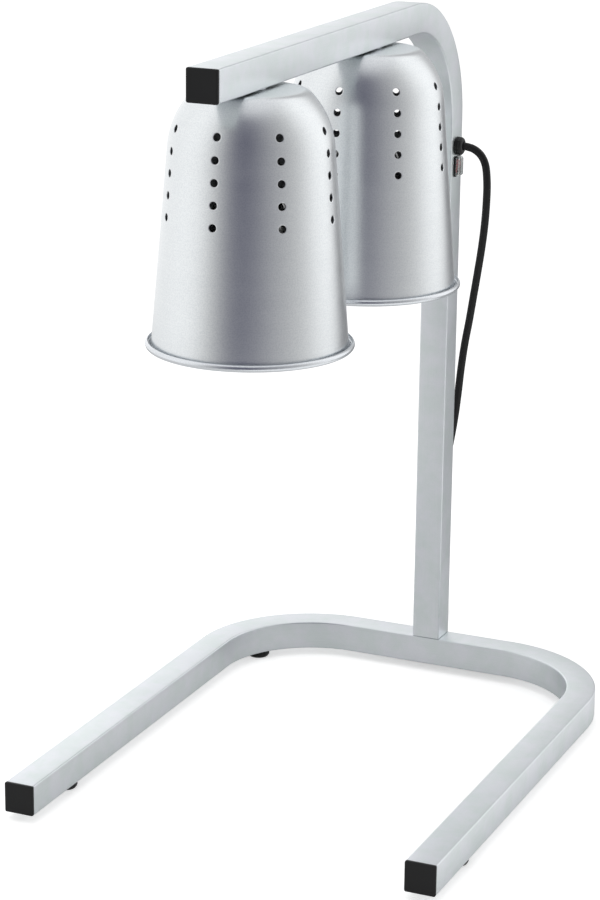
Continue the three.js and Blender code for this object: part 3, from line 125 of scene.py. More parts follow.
def skinned(name, rows, ends=(True, True), flip=False, sharp=35.0):
    """A skin over closed rings of points, one after another, with flat ends where they are asked for."""
    rows = np.asarray(rows, float)
    n, m = rows.shape[:2]
    around = lengths(np.vstack([rows[n // 2], rows[n // 2][:1]]))
    way = np.concatenate([[0], np.cumsum(np.linalg.norm(np.diff(rows, axis=0), axis=2).mean(axis=1))])
    faces, uvs = [], []
    for i in range(n - 1):
        for j in range(m):
            k = (j + 1) % m
            faces.append((i * m + j, i * m + k, (i + 1) * m + k, (i + 1) * m + j))
            uvs += [(around[v], way[u]) for v, u in ((j, i), (j + 1, i), (j + 1, i + 1), (j, i + 1))]
    points = rows.reshape(-1, 3)
    for end, order, i in ((ends[0], range(m - 1, -1, -1), 0), (ends[1], range(m), n - 1)):
        if end:
            faces.append([i * m + j for j in order])
            uvs += [tuple(points[v][:2]) for v in faces[-1]]
    if flip:
        at, turned = 0, []
        for f in faces:
            turned += uvs[at : at + len(f)][::-1]
            at += len(f)
        faces, uvs = [f[::-1] for f in faces], turned
    return mesh_object(name, points, faces, uvs, sharp)


def carried(path, outline, up=UP):
    """Rings of an outline, anticlockwise about the way, at each point of a path, without twist."""
    p, o = np.asarray(path, float), np.asarray(outline, float)
    t = np.gradient(p, axis=0)
    t[0], t[-1] = p[1] - p[0], p[-1] - p[-2]
    t /= np.linalg.norm(t, axis=1)[:, None]
    side, rings = np.cross(up, t[0]), []
    for point, way in zip(p, t):
        side = unit(side - way * np.dot(side, way))
        rings.append(point + o[:, :1] * side + o[:, 1:] * np.cross(way, side))
    return np.array(rings)


def ring(radius, sides):
    a = 2 * np.pi * np.arange(sides) / sides
    return np.stack([radius * np.cos(a), radius * np.sin(a)], 1)


def rounded_rect(width, height, corner, steps=6):
    """A rectangle's outline, anticlockwise, with round corners."""
    pts = []
    for q, (sx, sy) in enumerate(((1, 1), (-1, 1), (-1, -1), (1, -1))):
        for i in range(steps + 1):
            a = (q + i / steps) * np.pi / 2
            x = sx * (width / 2 - corner) + corner * np.cos(a)
            pts.append((x, sy * (height / 2 - corner) + corner * np.sin(a)))
    return np.array(pts)


def inset_rect(width, height, corner, least=None, steps=6):
    """A rounded rectangle for slab; its corners shrink with the inset as far as least, if that is given."""
    def outline(inset):
        r = corner if least is None else max(corner - inset, least)
        return rounded_rect(width - 2 * inset, height - 2 * inset, r, steps)

    return outline


def eased_corner(a, corner, b, steps):
    """Points on a curve from a to b that touches both of the corner's sides."""
    a, corner, b = np.array([a, corner, b])
    return [(1 - t) ** 2 * a + 2 * t * (1 - t) * corner + t * t * b for t in np.linspace(0, 1, steps + 1)]


def filleted(profile, steps=4):
    """A line of (r, z) or (r, z, rounding) points, with an arc at each inner point that has a rounding."""
    p = [np.array(q[:2], float) for q in profile]
    out = [p[0]]
    for i in range(1, len(p) - 1):
        rounding = profile[i][2] if len(profile[i]) > 2 else 0
        u, v = p[i - 1] - p[i], p[i + 1] - p[i]
        lu, lv = np.linalg.norm(u), np.linalg.norm(v)
        if not rounding:
            out.append(p[i])
            continue
        u, v = u / lu, v / lv
        half = math.acos(max(-1, min(1, float(u @ v)))) / 2
        cut = min(rounding / math.tan(half), 0.49 * lu, 0.49 * lv)
        out += eased_corner(p[i] + u * cut, p[i], p[i] + v * cut, steps)
    return np.array(out + [p[-1]])


def basis(origin, up, across=(1, 0, 0)):
    """A frame at a place: its third axis is up, and its first lies along across as near as it can."""
    z, x = unit(np.array(up, float)), np.array(across, float)
    x = unit(x - z * np.dot(x, z))
    return np.array(origin, float), np.array([x, np.cross(z, x), z])


def lifted(outline, height, place):
    """A flat outline, as points at a height in a frame."""
    origin, axes = place
    return origin + np.column_stack([outline, np.full(len(outline), height)]) @ axes


def lathe(name, profile, place, sides=64, shape=None, sharp=35.0):
    """A profile of (r, z) turned about the frame's third axis; shape(angle, r, z) may change a radius."""
    prof = np.asarray(profile, float)
    a = 2 * np.pi * np.arange(sides) / sides
    rows = []
    for r, z in prof:
        radius = r if shape is None else np.array([shape(t, r, z) for t in a])
        rows.append(lifted(ring(radius, sides), z, place))
    r, z = np.append(prof[:, 0], prof[0, 0]), np.append(prof[:, 1], prof[0, 1])
    clockwise = float(np.sum(r[:-1] * z[1:] - r[1:] * z[:-1])) < 0
    closed = abs(prof[0] - prof[-1]).max() < 1e-9
    ends = (False, False) if closed else (prof[0][0] > 1e-6, prof[-1][0] > 1e-6)
    return skinned(name, rows, ends, flip=clockwise, sharp=sharp)


def slab(name, outline, levels, place, sharp=35.0):
    """An outline, given by its inset, carried up a frame through levels of (height, inset)."""
    return skinned(name, [lifted(outline(inset), z, place) for z, inset in levels], sharp=sharp)


def joined(name, *objects):
    """Several meshes as one, under a new name."""
    verts, faces, uvs, at = [], [], [], 0
    for o in objects:
        me = o.data
        verts += [tuple(v.co) for v in me.vertices]
        for f in me.polygons:
            faces.append([at + i for i in f.vertices])
            uvs += [tuple(me.uv_layers[0].data[i].uv) for i in f.loop_indices]
        at += len(me.vertices)
    for o in objects:
        bpy.data.objects.remove(o)
    return mesh_object(name, np.array(verts) / MM, faces, np.array(uvs) / MM)


def dress(o, material, node, body="stand"):
    """Gives a piece its material or materials, the CAD nodes that it stands for and its body."""
    for m in material if isinstance(material, tuple) else (material,):
        o.data.materials.append(m)
    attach(o, body)
    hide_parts(*([node] if isinstance(node, str) else node))


# --- Material helpers
def rgb(code):
    """A display colour, #rrggbb, as linear values."""
    v = [int(code[i : i + 2], 16) / 255 for i in (1, 3, 5)]
    return [c / 12.92 if c <= 0.04045 else ((c + 0.055) / 1.055) ** 2.4 for c in v] + [1.0]


def add(tree, kind, ins=None, **props):
    """A shader node with its properties set, and its inputs set or linked; a node is linked by its first output."""
    n = tree.nodes.new("ShaderNode" + kind)
    for k, v in props.items():
        setattr(n, k, v)
    for k, v in (ins or {}).items():
        if isinstance(v, bpy.types.Node):
            v = v.outputs[0]
        if isinstance(v, bpy.types.NodeSocket):
            tree.links.new(v, n.inputs[k])
        else:
            n.inputs[k].default_value = v
    return n


def new_material(name):
    m = bpy.data.materials.new(name)
    m.use_nodes = True
    m.node_tree.nodes.clear()
    return m, m.node_tree


def maths(tree, operation, a, b):
    return add(tree, "Math", {0: a, 1: b}, operation=operation)


def finished(m, tone, rough, normal, **others):
    """The material with its surface; other inputs go by their names, with _ for a space."""
    others = {k.replace("_", " "): v for k, v in others.items()}
    ins = {"Base Color": tone, "Roughness": rough, "Normal": normal, **others}
    add(m.node_tree, "OutputMaterial", {"Surface": add(m.node_tree, "BsdfPrincipled", ins)})
    return m


def noise(tree, vector, scale, detail=2.0, rough=0.5):
    return add(tree, "TexNoise", {"Vector": vector, "Scale": scale, "Detail": detail, "Roughness": rough})


def spread(tree, value, low, high, start=0.3, end=0.7, how="LINEAR"):
    """A value mapped to a range."""
    return add(tree, "MapRange", {0: value, 1: start, 2: end, 3: low, 4: high}, interpolation_type=how)


def blend_colour(tree, factor, a, b):
    return add(tree, "Mix", {0: factor, 6: a, 7: b}, data_type="RGBA").outputs[2]


def stretched(tree, output_name="Object", scale=(1, 1, 1)):
    """Coordinates in metres times a scale."""
    return add(tree, "Mapping", {"Vector": add(tree, "TexCoord").outputs[output_name], "Scale": scale})


def bumped(tree, height, strength, distance, normal=None):
    ins = {"Height": height, "Strength": strength, "Distance": distance}
    if normal is not None:
        ins["Normal"] = normal
    return add(tree, "Bump", ins)


# Satin anodised extruded aluminium tube: a fine blasted grain over faint lines along it, and slow changes of tone
def tube_metal():
    m, t = new_material("aluminium_extruded_blasted_anodised")
    lines = noise(t, stretched(t, "UV", (1500, 22, 1)), 1.0, 3, 0.6)
    grain = noise(t, stretched(t), 2600, 2, 0.6)
    cloud = noise(t, stretched(t), 14, 2, 0.5)
    patches = noise(t, stretched(t), 38, 3, 0.6)
    tone = blend_colour(t, spread(t, patches, 0, 1, 0.38, 0.62), rgb("#dce4e4"), rgb("#e7e9ef"))
    tone = blend_colour(t, spread(t, lines, 0, 0.5), tone, rgb("#eaeeef"))
    tone = blend_colour(t, spread(t, grain, 0, 0.35), tone, rgb("#d3d9db"))
    rough = maths(t, "ADD", spread(t, cloud, 0.37, 0.44), spread(t, lines, -0.02, 0.02))
    normal = bumped(t, grain, 0.3, 0.00004, bumped(t, lines, 0.25, 0.00003))
    return finished(m, tone, rough, normal, Metallic=1.0)


# Spun aluminium sheet: turning marks run round the shade, over them the anodising's fine grain
def spun_metal(name, light, dark, rough_low, rough_high, marks):
    m, t = new_material(name)
    c = add(t, "TexCoord").outputs
    xyz, uv = (add(t, "SeparateXYZ", {0: c[k]}).outputs for k in ("Object", "UV"))
    turned = add(t, "CombineXYZ", {0: xyz[0], 1: xyz[1], 2: uv[1]})
    fine, broad = (
        noise(t, add(t, "Mapping", {"Vector": turned, "Scale": scale}), 1.0, detail, rough)
        for scale, detail, rough in (((30, 30, 2400), 3, 0.65), ((9, 9, 70), 2, 0.5))
    )
    grain = noise(t, stretched(t), 950, 1, 0.5)
    tone = blend_colour(t, spread(t, fine, 0.55, 1), rgb(dark), rgb(light))
    tone = blend_colour(t, spread(t, grain, 0, 0.75, 0.4, 0.65), tone, rgb(dark))
    rough = spread(t, broad, rough_low, rough_high)
    normal = bumped(t, grain, 0.5, 0.00012, bumped(t, fine, marks, 0.00003))
    return finished(m, tone, rough, normal, Metallic=1.0)


# Moulded plastics and rubbers: a fine spark-eroded grain, and a slow change in gloss
def moulded(name, colour, worn, rough_low, rough_high, grain_mm, depth, sheen=0.0):
    m, t = new_material(name)
    where = stretched(t)
    cloud = noise(t, where, 45, 2, 0.5)
    tone = blend_colour(t, spread(t, cloud, 0, 1), rgb(colour), rgb(worn))
    rough = spread(t, cloud, rough_low, rough_high)
    normal = bumped(t, noise(t, where, 1000 / grain_mm, 3, 0.6), 0.5, depth)
    return finished(m, tone, rough, normal, Sheen_Weight=sheen, Specular_IOR_Level=0.35)


# Plated or drawn metals: faint cloudiness in the plating and fine scratches
def plated(name, colour, shade, rough_low, rough_high, scratch=0.15):
    m, t = new_material(name)
    cloud = noise(t, stretched(t), 220, 2, 0.5)
    fine = noise(t, stretched(t, "Object", (3000, 400, 900)), 1.0, 2, 0.5)
    tone = blend_colour(t, spread(t, cloud, 0, 1), rgb(colour), rgb(shade))
    rough = spread(t, fine, rough_low, rough_high)
    normal = bumped(t, fine, scratch, 0.00002)
    return finished(m, tone, rough, normal, Metallic=1.0)


# Extruded cord sheath: smooth black PVC with a slow wander in gloss and faint die lines along it
def cord_sheath():
    m, t = new_material("pvc_extruded_sheath")
    lines = noise(t, stretched(t, "UV", (2200, 30, 1)), 1.0, 2, 0.5)
    grain = noise(t, stretched(t), 1400, 2, 0.6)
    tone = blend_colour(t, spread(t, grain, 0, 1), rgb("#0b0b0c"), rgb("#121213"))
    rough = spread(t, lines, 0.42, 0.55)
    normal = bumped(t, grain, 0.25, 0.00003, bumped(t, lines, 0.2, 0.00003))
    return finished(m, tone, rough, normal, Specular_IOR_Level=0.3)


# Braided glass-fibre sleeve on the leads, and the woven hook strap of the tie
def woven(name, light, dark, pitch_mm, rough):
    m, t = new_material(name)
    where = stretched(t, "Object", (1000 / pitch_mm,) * 3)
    wave = add(t, "TexWave", {"Vector": where, "Scale": 0.5, "Distortion": 0.6}, bands_direction="DIAGONAL").outputs[1]
    weave = maths(t, "MULTIPLY", wave, noise(t, where, 1.6))
    tone = blend_colour(t, spread(t, weave, 0, 1, 0.1, 0.5), rgb(dark), rgb(light))
    return finished(m, tone, rough, bumped(t, weave, 0.6, 0.0001), Sheen_Weight=0.3)


# White glazed ceramic of the holders: clear glaze over a slightly uneven body
def glazed():
    m, t = new_material("porcelain_glazed")
    where = stretched(t)
    specks = noise(t, where, 900)
    tone = blend_colour(t, spread(t, specks, 0, 1, 0.62, 0.75), rgb("#eeece6"), rgb("#cfc8b8"))
    normal = bumped(t, noise(t, where, 120), 0.25, 0.0001)
    return finished(m, tone, 0.16, normal, Coat_Weight=0.5, Coat_Roughness=0.05)


# Glass and clear silicone, with blown glass's ripple or a moulding's haze
def clear(name, colour, rough_low, rough_high, ior, scale, depth, weight=1.0):
    m, t = new_material(name)
    ripple = noise(t, stretched(t), scale)
    rough = spread(t, ripple, rough_low, rough_high)
    return finished(m, rgb(colour), rough, bumped(t, ripple, 0.15, depth), IOR=ior, Transmission_Weight=weight)


# The bulb's neck: clear glass over a mirror coating, its tone painted darker than a bare mirror as painted shade inside
# the shade
def silvered_glass():
    m, t = new_material("glass_silvered_inside_painted_shade")
    ripple = noise(t, stretched(t), 70)
    tone = blend_colour(t, spread(t, ripple, 0, 1), rgb("#a4a6a8"), rgb("#b2b3b3"))
    normal = bumped(t, ripple, 0.15, 0.0004)
    return finished(m, tone, 0.2, normal, Metallic=1.0, Coat_Weight=1.0, Coat_Roughness=0.03)


TUBE_METAL = tube_metal()
SHADE_METAL = spun_metal("aluminium_spun_anodised", "#ebeeef", "#d9dde0", 0.29, 0.32, 0.04)
# Inside the shade: a rougher, duller spun finish, with its tone painted darker than the outside's as painted shade
# inside the bell
INSIDE_METAL = spun_metal("aluminium_spun_inside_dull_painted_shade", "#b6b8ba", "#a5a7a9", 0.42, 0.5, 0.12)
# The rolled rim: its tone is painted a little darker than the shade's, a painted reflection of a greyer floor below it
RIM_METAL = spun_metal("aluminium_rolled_polished_painted_shade", "#e2e5e9", "#d6dade", 0.22, 0.28, 0.04)
PLUG_BLACK = moulded("polyamide_moulded_black", "#0b0b0c", "#111213", 0.46, 0.56, 0.5, 0.00006)
FOOT_BLACK = moulded("rubber_moulded_black", "#0b0b0b", "#121212", 0.62, 0.75, 0.7, 0.00008, 0.2)
GLAND_BLACK = moulded("polyamide_gland_black", "#0a0a0b", "#101112", 0.4, 0.46, 0.4, 0.00004)
SWITCH_BLACK = moulded("nylon_switch_black", "#0a0a0b", "#0f1011", 0.34, 0.38, 0.5, 0.00004)
SWITCH_RED = moulded("nylon_rocker_red", "#b3242a", "#c2333a", 0.26, 0.34, 0.8, 0.00003)
MAINS_BLACK = moulded("pvc_moulded_black", "#0c0c0d", "#131314", 0.48, 0.56, 0.6, 0.00006)
PALE_PLASTIC = moulded("polyamide_natural", "#e3e0d4", "#d6d2c4", 0.4, 0.5, 0.8, 0.00004)
ZINC = plated("steel_zinc_plated", "#c3c7cb", "#adb2b8", 0.22, 0.36)
BRASS = plated("brass_rolled", "#cda655", "#bb9345", 0.2, 0.34)
NICKEL = plated("brass_nickel_plated", "#d2d1cb", "#c3c2bc", 0.12, 0.24)
TUNGSTEN = plated("tungsten_drawn", "#77787b", "#65666a", 0.3, 0.45)
CORD_BLACK = cord_sheath()
SLEEVE = woven("glass_fibre_braided", "#ece6d6", "#c9c1ab", 0.8, 0.7)
STRAP = woven("nylon_woven_hook_strap", "#262629", "#0f0f11", 0.7, 0.8)
CERAMIC = glazed()
GLASS = clear("glass_blown_clear", "#f3f6f5", 0.02, 0.06, 1.5, 60, 0.0004)
SILICONE = clear("silicone_moulded_clear", "#f2f5f4", 0.08, 0.16, 1.41, 700, 0.00005, 0.92)
SILVERED = silvered_glass()


# --- Mains cord: the CAD's own route, from the gland down to the hank and on to the plug
# Its middle in x, straight run, inner folds' radius, step between lanes, the upper layer's lift and how far it
# nestles, how far the tie draws the lanes in, and the lower layer's height at the tie and fall beside it
HANK = dict(middle=15.5, run=120.0, fold=24.0, step=8.8, lift=8.5, nestle=2.5, waist=10.0, low=5.2, settle=1.1)
LANE_GAP = 1.2  # between the tube and the nearest lane
SETTLES = 8, 26  # it falls to the counter between these distances from the tie
CORD_STEP, CORD_SIDES, SPAN_STEPS = 2.0, 20, 8
DROP = [
    (17.2, 279, 574), (22.5, 279, 574), (25.5, 279, 573.9), (34, 279, 571.8), (41.4, 279, 566.4),
    (46.4, 279, 557.5), (48.8, 279.3, 540), (48.7, 280, 519), (47, 281.5, 495), (43.5, 284, 468.5),
    (39.1, 286.4, 442.1), (34.3, 289.1, 415.3), (29.3, 292.2, 388.2), (24, 294.7, 361), (19.9, 297, 333.8),
    (16.6, 299.2, 306.5), (12.7, 301.8, 279), (7.5, 304.2, 250), (0, 306.4, 215), (-8, 308, 180),
    (-15.5, 308.9, 145), (-21.5, 309.2, 108), (-24.6, 309.2, 74), (-25, 309.2, 46.1), (-22.5, 309.2, 33.7),
    (-15.5, 309.2, 23.1), (-4.9, 309.2, 16.1), (7.5, 309.2, 13.6), (15.2, 309.2, 13.7),
]
TAIL = [
    (15.2, 346, 5.2), (7.2, 346.2, 5.6), (-0.5, 347.5, 8.6), (-8.5, 349.3, 11.8), (-19.1, 353, 13.7),
    (-28.3, 360.3, 14.2), (-34.3, 370.3, 14), (-37.2, 378, 13.3), (-40, 385.4, 12.8), (-42.8, 392.8, 13.6),
]


def between(t, a, b, ta, tb):
    """Where t is between two points that are passed at ta and tb."""
    return (tb - t) / (tb - ta) * a + (t - ta) / (tb - ta) * b


def catmull(points, per):
    """A centripetal Catmull-Rom line through points, with that many steps to a span."""
    p = np.asarray(points, float)
    p = np.vstack([2 * p[0] - p[1], p, 2 * p[-1] - p[-2]])
    out = []
    for p0, p1, p2, p3 in zip(p, p[1:], p[2:], p[3:]):
        t1 = np.linalg.norm(p1 - p0) ** 0.5
        t2 = t1 + np.linalg.norm(p2 - p1) ** 0.5
        t3 = t2 + np.linalg.norm(p3 - p2) ** 0.5
        for k in range(per):
            t = t1 + (t2 - t1) * k / per
            middle = between(t, p1, p2, t1, t2)
            before = between(t, between(t, p0, p1, 0, t1), middle, 0, t2)
            after = between(t, middle, between(t, p2, p3, t2, t3), t1, t3)
            out.append(between(t, before, after, t1, t2))
    return np.array(out + [p[-2]])


def evenly(points, step):
    """The same line with its points a step apart."""
    p = np.asarray(points, float)
    way = lengths(p)
    at = np.linspace(0, way[-1], int(round(way[-1] / step)) + 1)
    return np.stack([np.interp(at, way, p[:, i]) for i in range(p.shape[1])], 1)


def smoothstep(x, a, b):
    t = np.clip((x - a) / (b - a), 0, 1)
    return t * t * (3 - 2 * t)


def near_lane(k):
    return REAR_Y + LANE_GAP + CORD_R + k * HANK["step"]


def far_lane(k):
    return near_lane(k) + 2 * HANK["fold"]


def hank_line(step=CORD_STEP):
    """One flat loop on top, a climb down, and two loops below that spiral in, all drawn in at the tie."""
    h, middle = HANK, HANK["middle"]
    left, right = middle - h["run"] / 2, middle + h["run"] / 2

    def run(lane, x0, x1, way):
        """A straight leg's (x, y, lane) and length, drawn in by the tie."""
        x = np.linspace(x0, x1, int(abs(x1 - x0) / step), endpoint=False)
        drawn = h["waist"] * np.sin(np.pi * (x - left) / h["run"]) ** 2
        return np.stack([x, lane + way * drawn, np.full(len(x), lane)], 1), abs(x1 - x0)

    def fold(x, y0, y1):
        """A half turn from lane to lane."""
        r = abs(y1 - y0) / 2
        a = np.linspace(0, np.pi, int(np.pi * r / step), endpoint=False)
        turn = a - np.pi / 2 if y0 < y1 else a + np.pi / 2
        y = (y0 + y1) / 2 + r * np.sin(turn)
        return np.stack([x + r * np.cos(turn), y, y], 1), np.pi * r

    lanes = [near_lane(0), far_lane(0), near_lane(0), far_lane(2), near_lane(1), far_lane(1)]
    legs, x = [], middle
    for i, lane in enumerate(lanes[:-1]):
        way, end = (-1, left) if i % 2 else (1, right)
        legs += [run(lane, x, end, way), fold(end, lane, lanes[i + 1])]
        x = end
    legs.append(run(lanes[-1], x, middle, -1))
    top_loop, rows, at = sum(length for _, length in legs[:4]), [], 0.0
    for pts, length in legs:
        way = at + length * np.arange(len(pts)) / len(pts)
        high = 1 - smoothstep(way, top_loop, top_loop + h["run"] / 2)
        sunk = smoothstep(pts[:, 2], far_lane(0) - 4 * CORD_R, far_lane(0))
        low = h["low"] - h["settle"] * smoothstep(np.abs(pts[:, 0] - middle), *SETTLES)
        rows.append(np.stack([pts[:, 0], pts[:, 1], low + high * (h["lift"] - h["nestle"] * sunk)], 1))
        at += length
    return np.vstack(rows)


cord_line = np.vstack([catmull(DROP, SPAN_STEPS)[:-1], hank_line(), catmull(TAIL, SPAN_STEPS)])
cord_line = evenly(cord_line, CORD_STEP)
cord = skinned("mains_cord", carried(cord_line, ring(CORD_R, CORD_SIDES)))
dress(cord, CORD_BLACK, ("cord_drop", "cord_hank", "cord_tail"))
# The cord is hidden from mirror rays, so the tube beside it shows no reflection of it
cord.visible_glossy = False


# The tie: a soft strap pulled round the hank's waist, with its tongue lapped over its top; the section is (across, out)
STRAP_GAP, STRAP_STEP = 0.4, 0.9
STRAP_SECTION = [(3.5, 0.12), (3.38, 0), (-3.38, 0), (-3.5, 0.12), (-3.5, 0.68), (-3.3, 0.8), (3.3, 0.8), (3.5, 0.68)]
TONGUE = dict(points=26, tip=4, width=0.93, lift=0.86)


def hull_outline(radius):
    """The outline round the tied runs, a radius out from their middles, anticlockwise in (y, z)."""
    w, top, low = HANK["waist"], HANK["low"] + HANK["lift"], HANK["low"]
    spots = [
        (near_lane(0) + w, top), (near_lane(0) + w, low),
        (far_lane(0) - w, top - HANK["nestle"]), (far_lane(2) - w, low),
    ]
    pts = np.vstack([np.array(c) + ring(radius, 96) for c in spots])
    pts = pts[np.lexsort((pts[:, 1], pts[:, 0]))]

    def half(seq):
        out = []
        for p in seq:
            while len(out) > 1:
                (ax, ay), (bx, by) = out[-1] - out[-2], p - out[-2]
                if ax * by - ay * bx > 1e-9:
                    break
                out.pop()
            out.append(p)
        return out[:-1]

    return np.array(half(list(pts)) + half(list(pts[::-1])))


def tie_strap():
    outline = hull_outline(CORD_R + STRAP_GAP)
    outline = evenly(np.vstack([outline, outline[:1]]), STRAP_STEP)[:-1]
    tangent = np.roll(outline, -1, 0) - np.roll(outline, 1, 0)
    tangent /= np.linalg.norm(tangent, axis=1)[:, None]
    out = np.stack([tangent[:, 1], -tangent[:, 0]], 1)
    middle, points, tip = HANK["middle"], TONGUE["points"], TONGUE["tip"]
    band = [
        np.column_stack([np.full(len(outline), middle + x), outline + out * lift])
        for x, lift in STRAP_SECTION + STRAP_SECTION[:1]
    ]
    tongue = []
    for i, j in enumerate(np.sort(np.argsort(-outline[:, 1])[:points])):
        share = math.sqrt(max(0.04, 1 - ((i - tip) / (points - tip)) ** 2)) if i > tip else 1.0
        tongue.append([
            (middle + x * share * TONGUE["width"], *(outline[j] + out[j] * (lift + TONGUE["lift"])))
            for x, lift in STRAP_SECTION
        ])
    return joined("hank_tie_strap", skinned("band", band, (False, False)), skinned("tongue", tongue, flip=True))


dress(tie_strap(), STRAP, "hank_tie")


# --- Square tube: the base and the post with its arm, each one hollow bent tube with soft corners
def bent(corners, radius, step_deg=2.5, run=20.0):
    """A path of straight runs with an arc at each inner corner."""
    p = [np.array(c, float) for c in corners]
    out = [p[0]]
    for a, b, c in zip(p, p[1:], p[2:]):
        u, v = unit(b - a), unit(c - b)
        angle = np.arccos(np.dot(u, v))
        inward = unit(v - u * np.dot(u, v))
        middle = b - u * radius * np.tan(angle / 2) + inward * radius
        n = int(round(np.degrees(angle) / step_deg))
        out += [middle - inward * radius * np.cos(t) + u * radius * np.sin(t) for t in np.linspace(0, angle, n + 1)]
    out.append(p[-1])
    filled = []
    for a, b in zip(out, out[1:]):
        n = max(1, int(np.linalg.norm(b - a) // run))
        filled += [a + (b - a) * k / n for k in range(n)]
    return np.array(filled + [out[-1]])


def hollow_tube(name, path, up, broken=0.25):
    """Both skins of the tube joined by its sawn ends, whose edges are slightly broken."""
    skin, bore, face = (
        carried(path, rounded_rect(side, side, corner), up)
        for side, corner in ((TUBE, CORNER), (BORE, 1.0), (TUBE - 2 * broken, CORNER - broken))
    )
    skin[0] += broken * unit(path[1] - path[0])
    skin[-1] -= broken * unit(path[-1] - path[-2])
    return skinned(name, [face[0], *skin, face[-1], *bore[::-1], face[0]], (False, False))


base_corners = [(-LEG_X, LEG_END, BAR_Z), (-LEG_X, POST_Y, BAR_Z), (LEG_X, POST_Y, BAR_Z), (LEG_X, LEG_END, BAR_Z)]
dress(hollow_tube("base_tube", bent(base_corners, BEND), UP), TUBE_METAL, "base_frame")
arm_corners = [(0, POST_Y, POST_FOOT), (0, POST_Y, ARM_Z), (0, ARM_END, ARM_Z)]
post = hollow_tube("post_and_arm_tube", bent(arm_corners, BEND), np.array([0.0, 1.0, 0.0]))
dress(post, TUBE_METAL, "post_arm")


# End plugs: a flange with softly rounded edges, slightly dished, over a ribbed shank inside the tube
def end_plug(name, x, y, z):
    """Its levels are (height along the tube, inset)."""
    place = basis((x, y, z), (0, -1, 0))
    edge, turns = 0.9, np.linspace(0, np.pi / 2, 6)
    levels = [(0.3, 0.8), (0.36, 0.35), (0.6, 0.1), (0.9, 0.0)]
    levels += [(PLUG_HEAD - edge * (1 - math.sin(a)), edge * (1 - math.cos(a))) for a in turns]
    flange = slab(name, inset_rect(TUBE, TUBE, CORNER, 0.5), levels + [(3.24, 3.0), (3.14, 5.0)], place)
    ribbed = [(-14, 0.9)]
    for top in (-9.3, -4.7):
        ribbed += [(top - 1.6, 0.5), (top - 1.3, 0.0), (top, 0.0), (top + 0.3, 0.5)]
    shank = inset_rect(BORE - 0.6, BORE - 0.6, 1.2)
    return joined(name, flange, slab("shank", shank, ribbed + [(0.5, 0.5)], place))


for plug, x, y, z in (
    ("base_plug_left", -LEG_X, LEG_END, BAR_Z),
    ("base_plug_right", LEG_X, LEG_END, BAR_Z),
    ("arm_plug", 0, ARM_END, ARM_Z),
):
    dress(end_plug(plug + "_moulded", x, y, z), PLUG_BLACK, plug)


# Feet: rubber bumpers with a rounded lower edge and a recess for the screw
def foot(name, x, y):
    profile = filleted([
        (1.9, 4.9), (4.3, 4.9, 0.4), (4.3, 0, 0.5), (10.0, 0, 1.6), (11.8, 2.6, 2.0), (11.8, 7.7, 0.4),
        (1.9, 7.7), (1.9, 4.9),
    ])
    return lathe(name, profile, basis((x, y, 0), UP), 48)


FRONT_FOOT_Y, ROUND_BEND = LEG_FRONT_Y + 92, math.radians(35)  # the rear feet stand under the bends
REAR_FOOT_X = LEG_X - BEND + BEND * math.cos(ROUND_BEND)
REAR_FOOT_Y = POST_Y - BEND + BEND * math.sin(ROUND_BEND)
feet = [(s * x, y) for x, y in ((LEG_X, FRONT_FOOT_Y), (REAR_FOOT_X, REAR_FOOT_Y)) for s in (-1, 1)]
for i, (x, y) in enumerate(feet, 1):
    dress(foot(f"foot_{i}_bumper", x, y), FOOT_BLACK, f"foot_{i}")


# --- Shades: spun sheet with a soft-edged flat top, vent holes with eased lips, and a rolled rim
# Heights and depths are down from the top; flat, shoulder and foot are radii, edge is the flat's rounding
SHADE = dict(top=701.5, height=231.0, flat=49.0, edge=2.4, depth=50.0, shoulder=73.6, foot=88.2, wall=1.2, roll=3.3)
VENT = dict(radius=3.5, columns=8, rows=5, first=31.5, pitch=19.3)
# The wall's fine grid: columns, rows to a vent's pitch and above the first vent, millimetres below the last vent,
# and half of a vent's patch in cells
AROUND, PER_PITCH, ROWS_ABOVE, BELOW, HALF = 256, 10, 12, 12, 3
VENT_LIP = ((1.1, 0.0), (0.3, 0.0), (0.1, 0.08), (0.0, 0.3))  # growth of the radius, depth into the sheet
CROWN_RADII = (41.0, 34.0, 27.0, 20.0, 13.0, NIPPLE_R)
OUTSIDE, INSIDE, RIM = range(3)
UV_RADIUS, CROWN_WAY, RIM_WAY = 75, 200.0, 300.0  # the texture's way around, and where two of its parts start


def shade_section():
    """The shoulder's arc, middle and radius, and the wall's slope."""
    h = SHADE
    wall = h["height"] - h["roll"]
    slope = math.atan2(h["foot"] - h["shoulder"], wall - h["depth"])
    n = np.array([math.cos(slope), math.sin(slope)])
    chord = np.array([h["shoulder"] - h["flat"], -h["depth"]])
    radius = (chord @ chord) / (2 * (chord @ n))
    return np.array([h["shoulder"], -h["depth"]]) - radius * n, radius, slope


ARC_MIDDLE, ARC_RADIUS, SLOPE = shade_section()


def skin_radius(z, skin):
    """The shade's radius at a height below its top, a skin's thickness in from the outside."""
    radius = ARC_RADIUS - skin
    joint = ARC_MIDDLE[1] + radius * math.sin(SLOPE)
    if z > joint:
        return ARC_MIDDLE[0] + math.sqrt(radius**2 - (z - ARC_MIDDLE[1]) ** 2)
    return ARC_MIDDLE[0] + radius * math.cos(SLOPE) + (joint - z) * math.tan(SLOPE)


